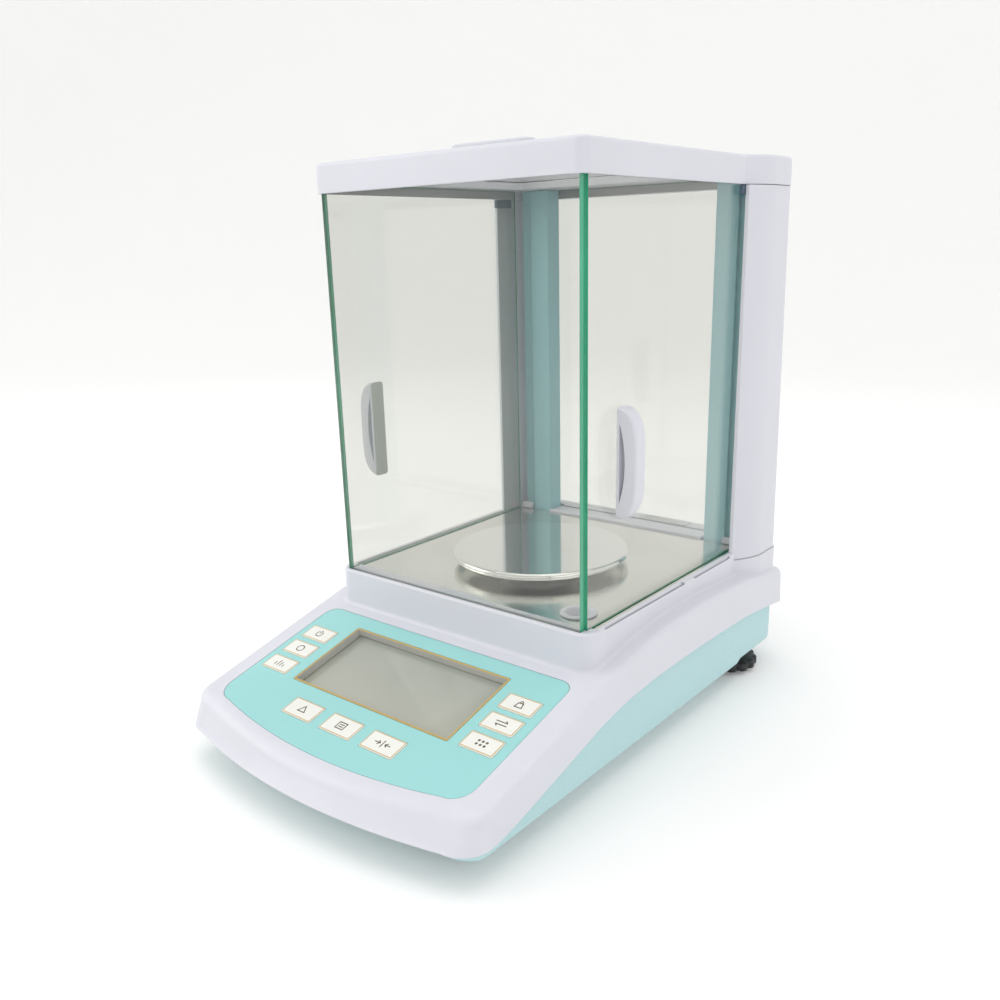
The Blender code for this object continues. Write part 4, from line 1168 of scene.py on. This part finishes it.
def make_top_door():
    pane("top_pane", "top_door", "top_door")
    low, high = node_corners("top_door_handle")
    rings = []
    edge = ((0.5, 3.0), (0.9, 1.4), (1.6, 0.5), (2.6, 0.08), (3.6, 0.0))
    levels = [(0.0, low.z), (0.0, low.z + 1.0)] + [(shrink, high.z - drop) for shrink, drop in edge]
    for shrink, z in levels:
        line = rounded(low.x + shrink, high.x - shrink, low.y + shrink, high.y - shrink, 3.8 - 0.6 * shrink)
        rings.append([(x, y, z) for x, y in line])
    grip = loft("top_door_grip", rings, "white_cover", flat_caps=True)

    def dish_outline(grow):
        return rounded(-19 - grow, 19 + grow, low.y + 4.2 - grow, high.y - 4.2 + grow, 2.4 + grow)

    levels = ((0.0, high.z - 1.2), (0.25, high.z - 1.0), (1.6, high.z + 1.0))
    dish = cushion("dish", dish_outline, levels, "white_cover")
    combine(grip, [dish])
    weighted(grip)
    put(grip, "top_door", "white_plastic", "top_door_handle")


# ---------------------------------------------------------------- feet and rear


def make_wheel(side, x, y):
    """A levelling wheel: a lobed rim and a boss that runs up into the casing."""
    low, high = node_corners(side + "_levelling_wheel")
    outline = []
    for k in range(12 * WHEEL_LOBES):
        angle = 2 * pi * k / (12 * WHEEL_LOBES)
        outline.append((angle, WHEEL_RADIUS - LOBE_DEPTH * (0.5 - 0.5 * cos(WHEEL_LOBES * angle)) ** 2))
    rings = []
    bottom, top = low.z, low.z + 5.6
    edge = ((1.2, 0.0), (0.4, 0.25), (0.0, 0.9))
    levels = [(shrink, bottom + rise) for shrink, rise in edge]
    levels += [(shrink, top - rise) for shrink, rise in reversed(edge)]
    for shrink, z in levels:
        rings.append([(x + (r - shrink) * cos(a), y + (r - shrink) * sin(a), z) for a, r in outline])
    wheel = loft("wheel", rings, "black", flat_caps=True, smooth=50.0)
    profile = [(0, top - 1), (8, top - 1), (8, top + 0.4), (7.4, top + 0.9), (4.2, top + 0.9)]
    profile += [(4.2, high.z - 0.6), (3.6, high.z), (0, high.z)]
    combine(wheel, [turned("boss", profile, (x, y), "black", 40)], "UNION")
    wheel.name = side + "_lobed_wheel"
    put(wheel, side + "_foot_wheel", "black_plastic", side + "_levelling_wheel")


def make_feet():
    pad_profile = [(0, TABLE_Z), (10.2, TABLE_Z), (10.8, TABLE_Z + 0.3), (11, TABLE_Z + 0.8)]
    pad_profile += [(11, -83.3), (10.6, -82.9), (0, -82.9)]
    foot_profile = [(0, TABLE_Z + 0.6), (8, TABLE_Z + 0.6), (8.6, TABLE_Z), (12, TABLE_Z)]
    foot_profile += [(12.7, TABLE_Z + 0.5), (12.9, TABLE_Z + 1.6)]
    foot_profile += [(11.5, CASING_BOTTOM - GAP), (0, CASING_BOTTOM - GAP)]
    for side, sign in (("left", -1), ("right", 1)):
        x, y = sign * FOOT_X, FOOT_Y
        make_wheel(side, x, y)
        pad = turned(side + "_rubber_pad", pad_profile, (x, y), "rubber", 48)
        put(pad, side + "_foot_stem", "rubber", side + "_levelling_pad")
        place = (sign * FRONT_FOOT[0], FRONT_FOOT[1])
        foot = turned(side + "_rubber_foot", foot_profile, place, "rubber", 56)
        put(foot, "base", "rubber", side + "_front_foot")


def make_label():
    """A blank label with three plain rules."""
    low, high = node_corners("rating_label")
    outline = rounded(low.x, high.x, low.y, high.y, 1.2)
    lines = [prism("blank_label", outline, low.z - 0.25, high.z - 0.2, "label")]
    for k in range(3):
        y = low.y + 3.0 + 2.6 * k
        rule = rounded(low.x + 2.5, high.x - 6.0 - 4 * k, y, y + 0.35, 0.15, 2)
        lines.append(prism("rule", rule, high.z - 0.22, high.z - 0.16, "key_mark"))
    put(joined("blank_label", lines), "base", "label", "rating_label")


def dress(node, look, bevel=0.3):
    """A new finish and soft edges for a CAD node that keeps its shape."""
    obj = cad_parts[node]
    obj.data.materials.clear()
    obj.data.materials.append(LOOKS[look])
    weld = obj.modifiers.new("weld", "WELD")
    weld.merge_threshold = 1e-6
    bevelled(obj, bevel, 2)


def dress_inside():
    looks = {
        "keypad_board": "board", "main_board": "board",
        "cell_bracket": "aluminium", "lever_beam": "aluminium",
        "magnet_housing": "steel", "force_coil": "copper", "power_transformer": "steel",
        "power_inlet": "black", "data_port": "steel",
    }
    for node, look in looks.items():
        dress(node, look)
    for place in ("front", "rear"):
        for side in ("left", "right"):
            dress(f"casing_screw_{place}_{side}", "steel", 0.15)


# ---------------------------------------------------------------- stage


def make_stage():
    """A round white bowl of a studio: a floor that curves up into its wall on every side."""
    floor, bend, wall = 1.7, 1.1, 2.8
    steps = 96
    profile = [(floor, 0.0)] + corner(floor, bend, bend, bend, -pi / 2, 0.0, 12) + [(wall, 1.8), (wall, 2.6)]
    points = []
    faces = []
    turns = [2 * pi * k / steps for k in range(steps)]
    for radius, z in profile:
        points += [(radius * cos(turn), radius * sin(turn), z) for turn in turns]
    for row in range(len(profile) - 1):
        for k in range(steps):
            j = (k + 1) % steps
            faces.append((row * steps + k, row * steps + j, (row + 1) * steps + j, (row + 1) * steps + k))
    faces.append(tuple(range(steps)))
    mesh = bpy.data.meshes.new("studio")
    mesh.from_pydata(points, [], faces)
    shape = bmesh.new()
    shape.from_mesh(mesh)
    bmesh.ops.recalc_face_normals(shape, faces=shape.faces)
    bmesh.ops.reverse_faces(shape, faces=shape.faces)
    shape.to_mesh(mesh)
    shape.free()
    mesh.shade_smooth()
    studio = bpy.data.objects.new("studio", mesh)
    bpy.context.scene.collection.objects.link(studio)
    material, tree, shader = node_material("studio_paint")
    set_inputs(shader, Roughness=0.9, Specular_IOR_Level=0.1)
    set_inputs(shader, Emission_Color=(1.0, 1.0, 1.0, 1.0), Emission_Strength=0.12)
    cloud = spread(tree, noise(tree, 0.8, 2.0), 0.0, 1.0)
    tree.links.new(tint(tree, cloud, (0.885, 0.885, 0.88), (0.895, 0.895, 0.89)), shader.inputs["Base Color"])
    mesh.materials.append(material)


def area_light(name, place, target, size, power, colour=(1.0, 1.0, 1.0)):
    data = bpy.data.lights.new(name, "AREA")
    data.shape = "RECTANGLE"
    data.size, data.size_y = size
    data.energy = power
    data.color = colour
    lamp = bpy.data.objects.new(name, data)
    bpy.context.scene.collection.objects.link(lamp)
    lamp.location = place
    aim = Vector(target) - Vector(place)
    lamp.rotation_mode = "QUATERNION"
    lamp.rotation_quaternion = aim.to_track_quat("-Z", "Y")
    return lamp


def make_lights():
    area_light("top_softbox", (0.0, 0.15, 1.75), (0.0, 0.0, 0.1), (1.8, 1.5), 10.4)
    area_light("left_softbox", (-1.35, -0.75, 0.95), (0.0, 0.0, 0.15), (1.1, 1.1), 6.6, (1.0, 0.995, 0.98))
    area_light("right_softbox", (1.45, -0.35, 0.85), (0.0, 0.0, 0.15), (0.9, 1.1), 1.3, (0.97, 0.985, 1.0))
    world = bpy.context.scene.world or bpy.data.worlds.new("studio_air")
    bpy.context.scene.world = world
    world.use_nodes = True
    back = world.node_tree.nodes["Background"]
    back.inputs["Color"].default_value = (1.0, 1.0, 1.0, 1.0)
    back.inputs["Strength"].default_value = 0.70
    scene = bpy.context.scene
    scene.view_settings.view_transform = "Standard"
    scene.view_settings.look = "None"
    scene.cycles.max_bounces = 20
    scene.cycles.transmission_bounces = 18
    scene.cycles.glossy_bounces = 6
    scene.cycles.diffuse_bounces = 5
    scene.cycles.transparent_max_bounces = 16


def make_camera():
    """The photograph's viewpoint: to the right of the front, a little above, with a slight roll."""
    azimuth, elevation, roll = radians(39.505), radians(16.621), radians(-1.489)
    back = Vector((sin(azimuth) * cos(elevation), -cos(azimuth) * cos(elevation), sin(elevation)))
    level = Vector((cos(azimuth), sin(azimuth), 0.0))
    up = back.cross(level)
    right = cos(roll) * level + sin(roll) * up
    up = -sin(roll) * level + cos(roll) * up
    data = bpy.data.cameras.new("camera")
    data.sensor_width = 36.0
    data.lens = 33.686
    data.shift_y = 0.02395
    data.clip_start = 0.02
    camera = bpy.data.objects.new("camera", data)
    bpy.context.scene.collection.objects.link(camera)
    place = (Vector((343.58, -372.48, 194.33)) + DATUM) * MM
    camera.matrix_world = Matrix.Translation(place) @ Matrix((right, up, back)).transposed().to_4x4()
    bpy.context.scene.camera = camera


def main():
    make_camera()
    make_upper_shell()
    make_lower_casing()
    make_panel()
    make_floor()
    make_pan()
    make_level()
    make_glass()
    make_columns()
    make_pillar_covers()
    make_top_frame()
    make_top_door()
    make_feet()
    make_label()
    dress_inside()
    make_stage()
    make_lights()


main()
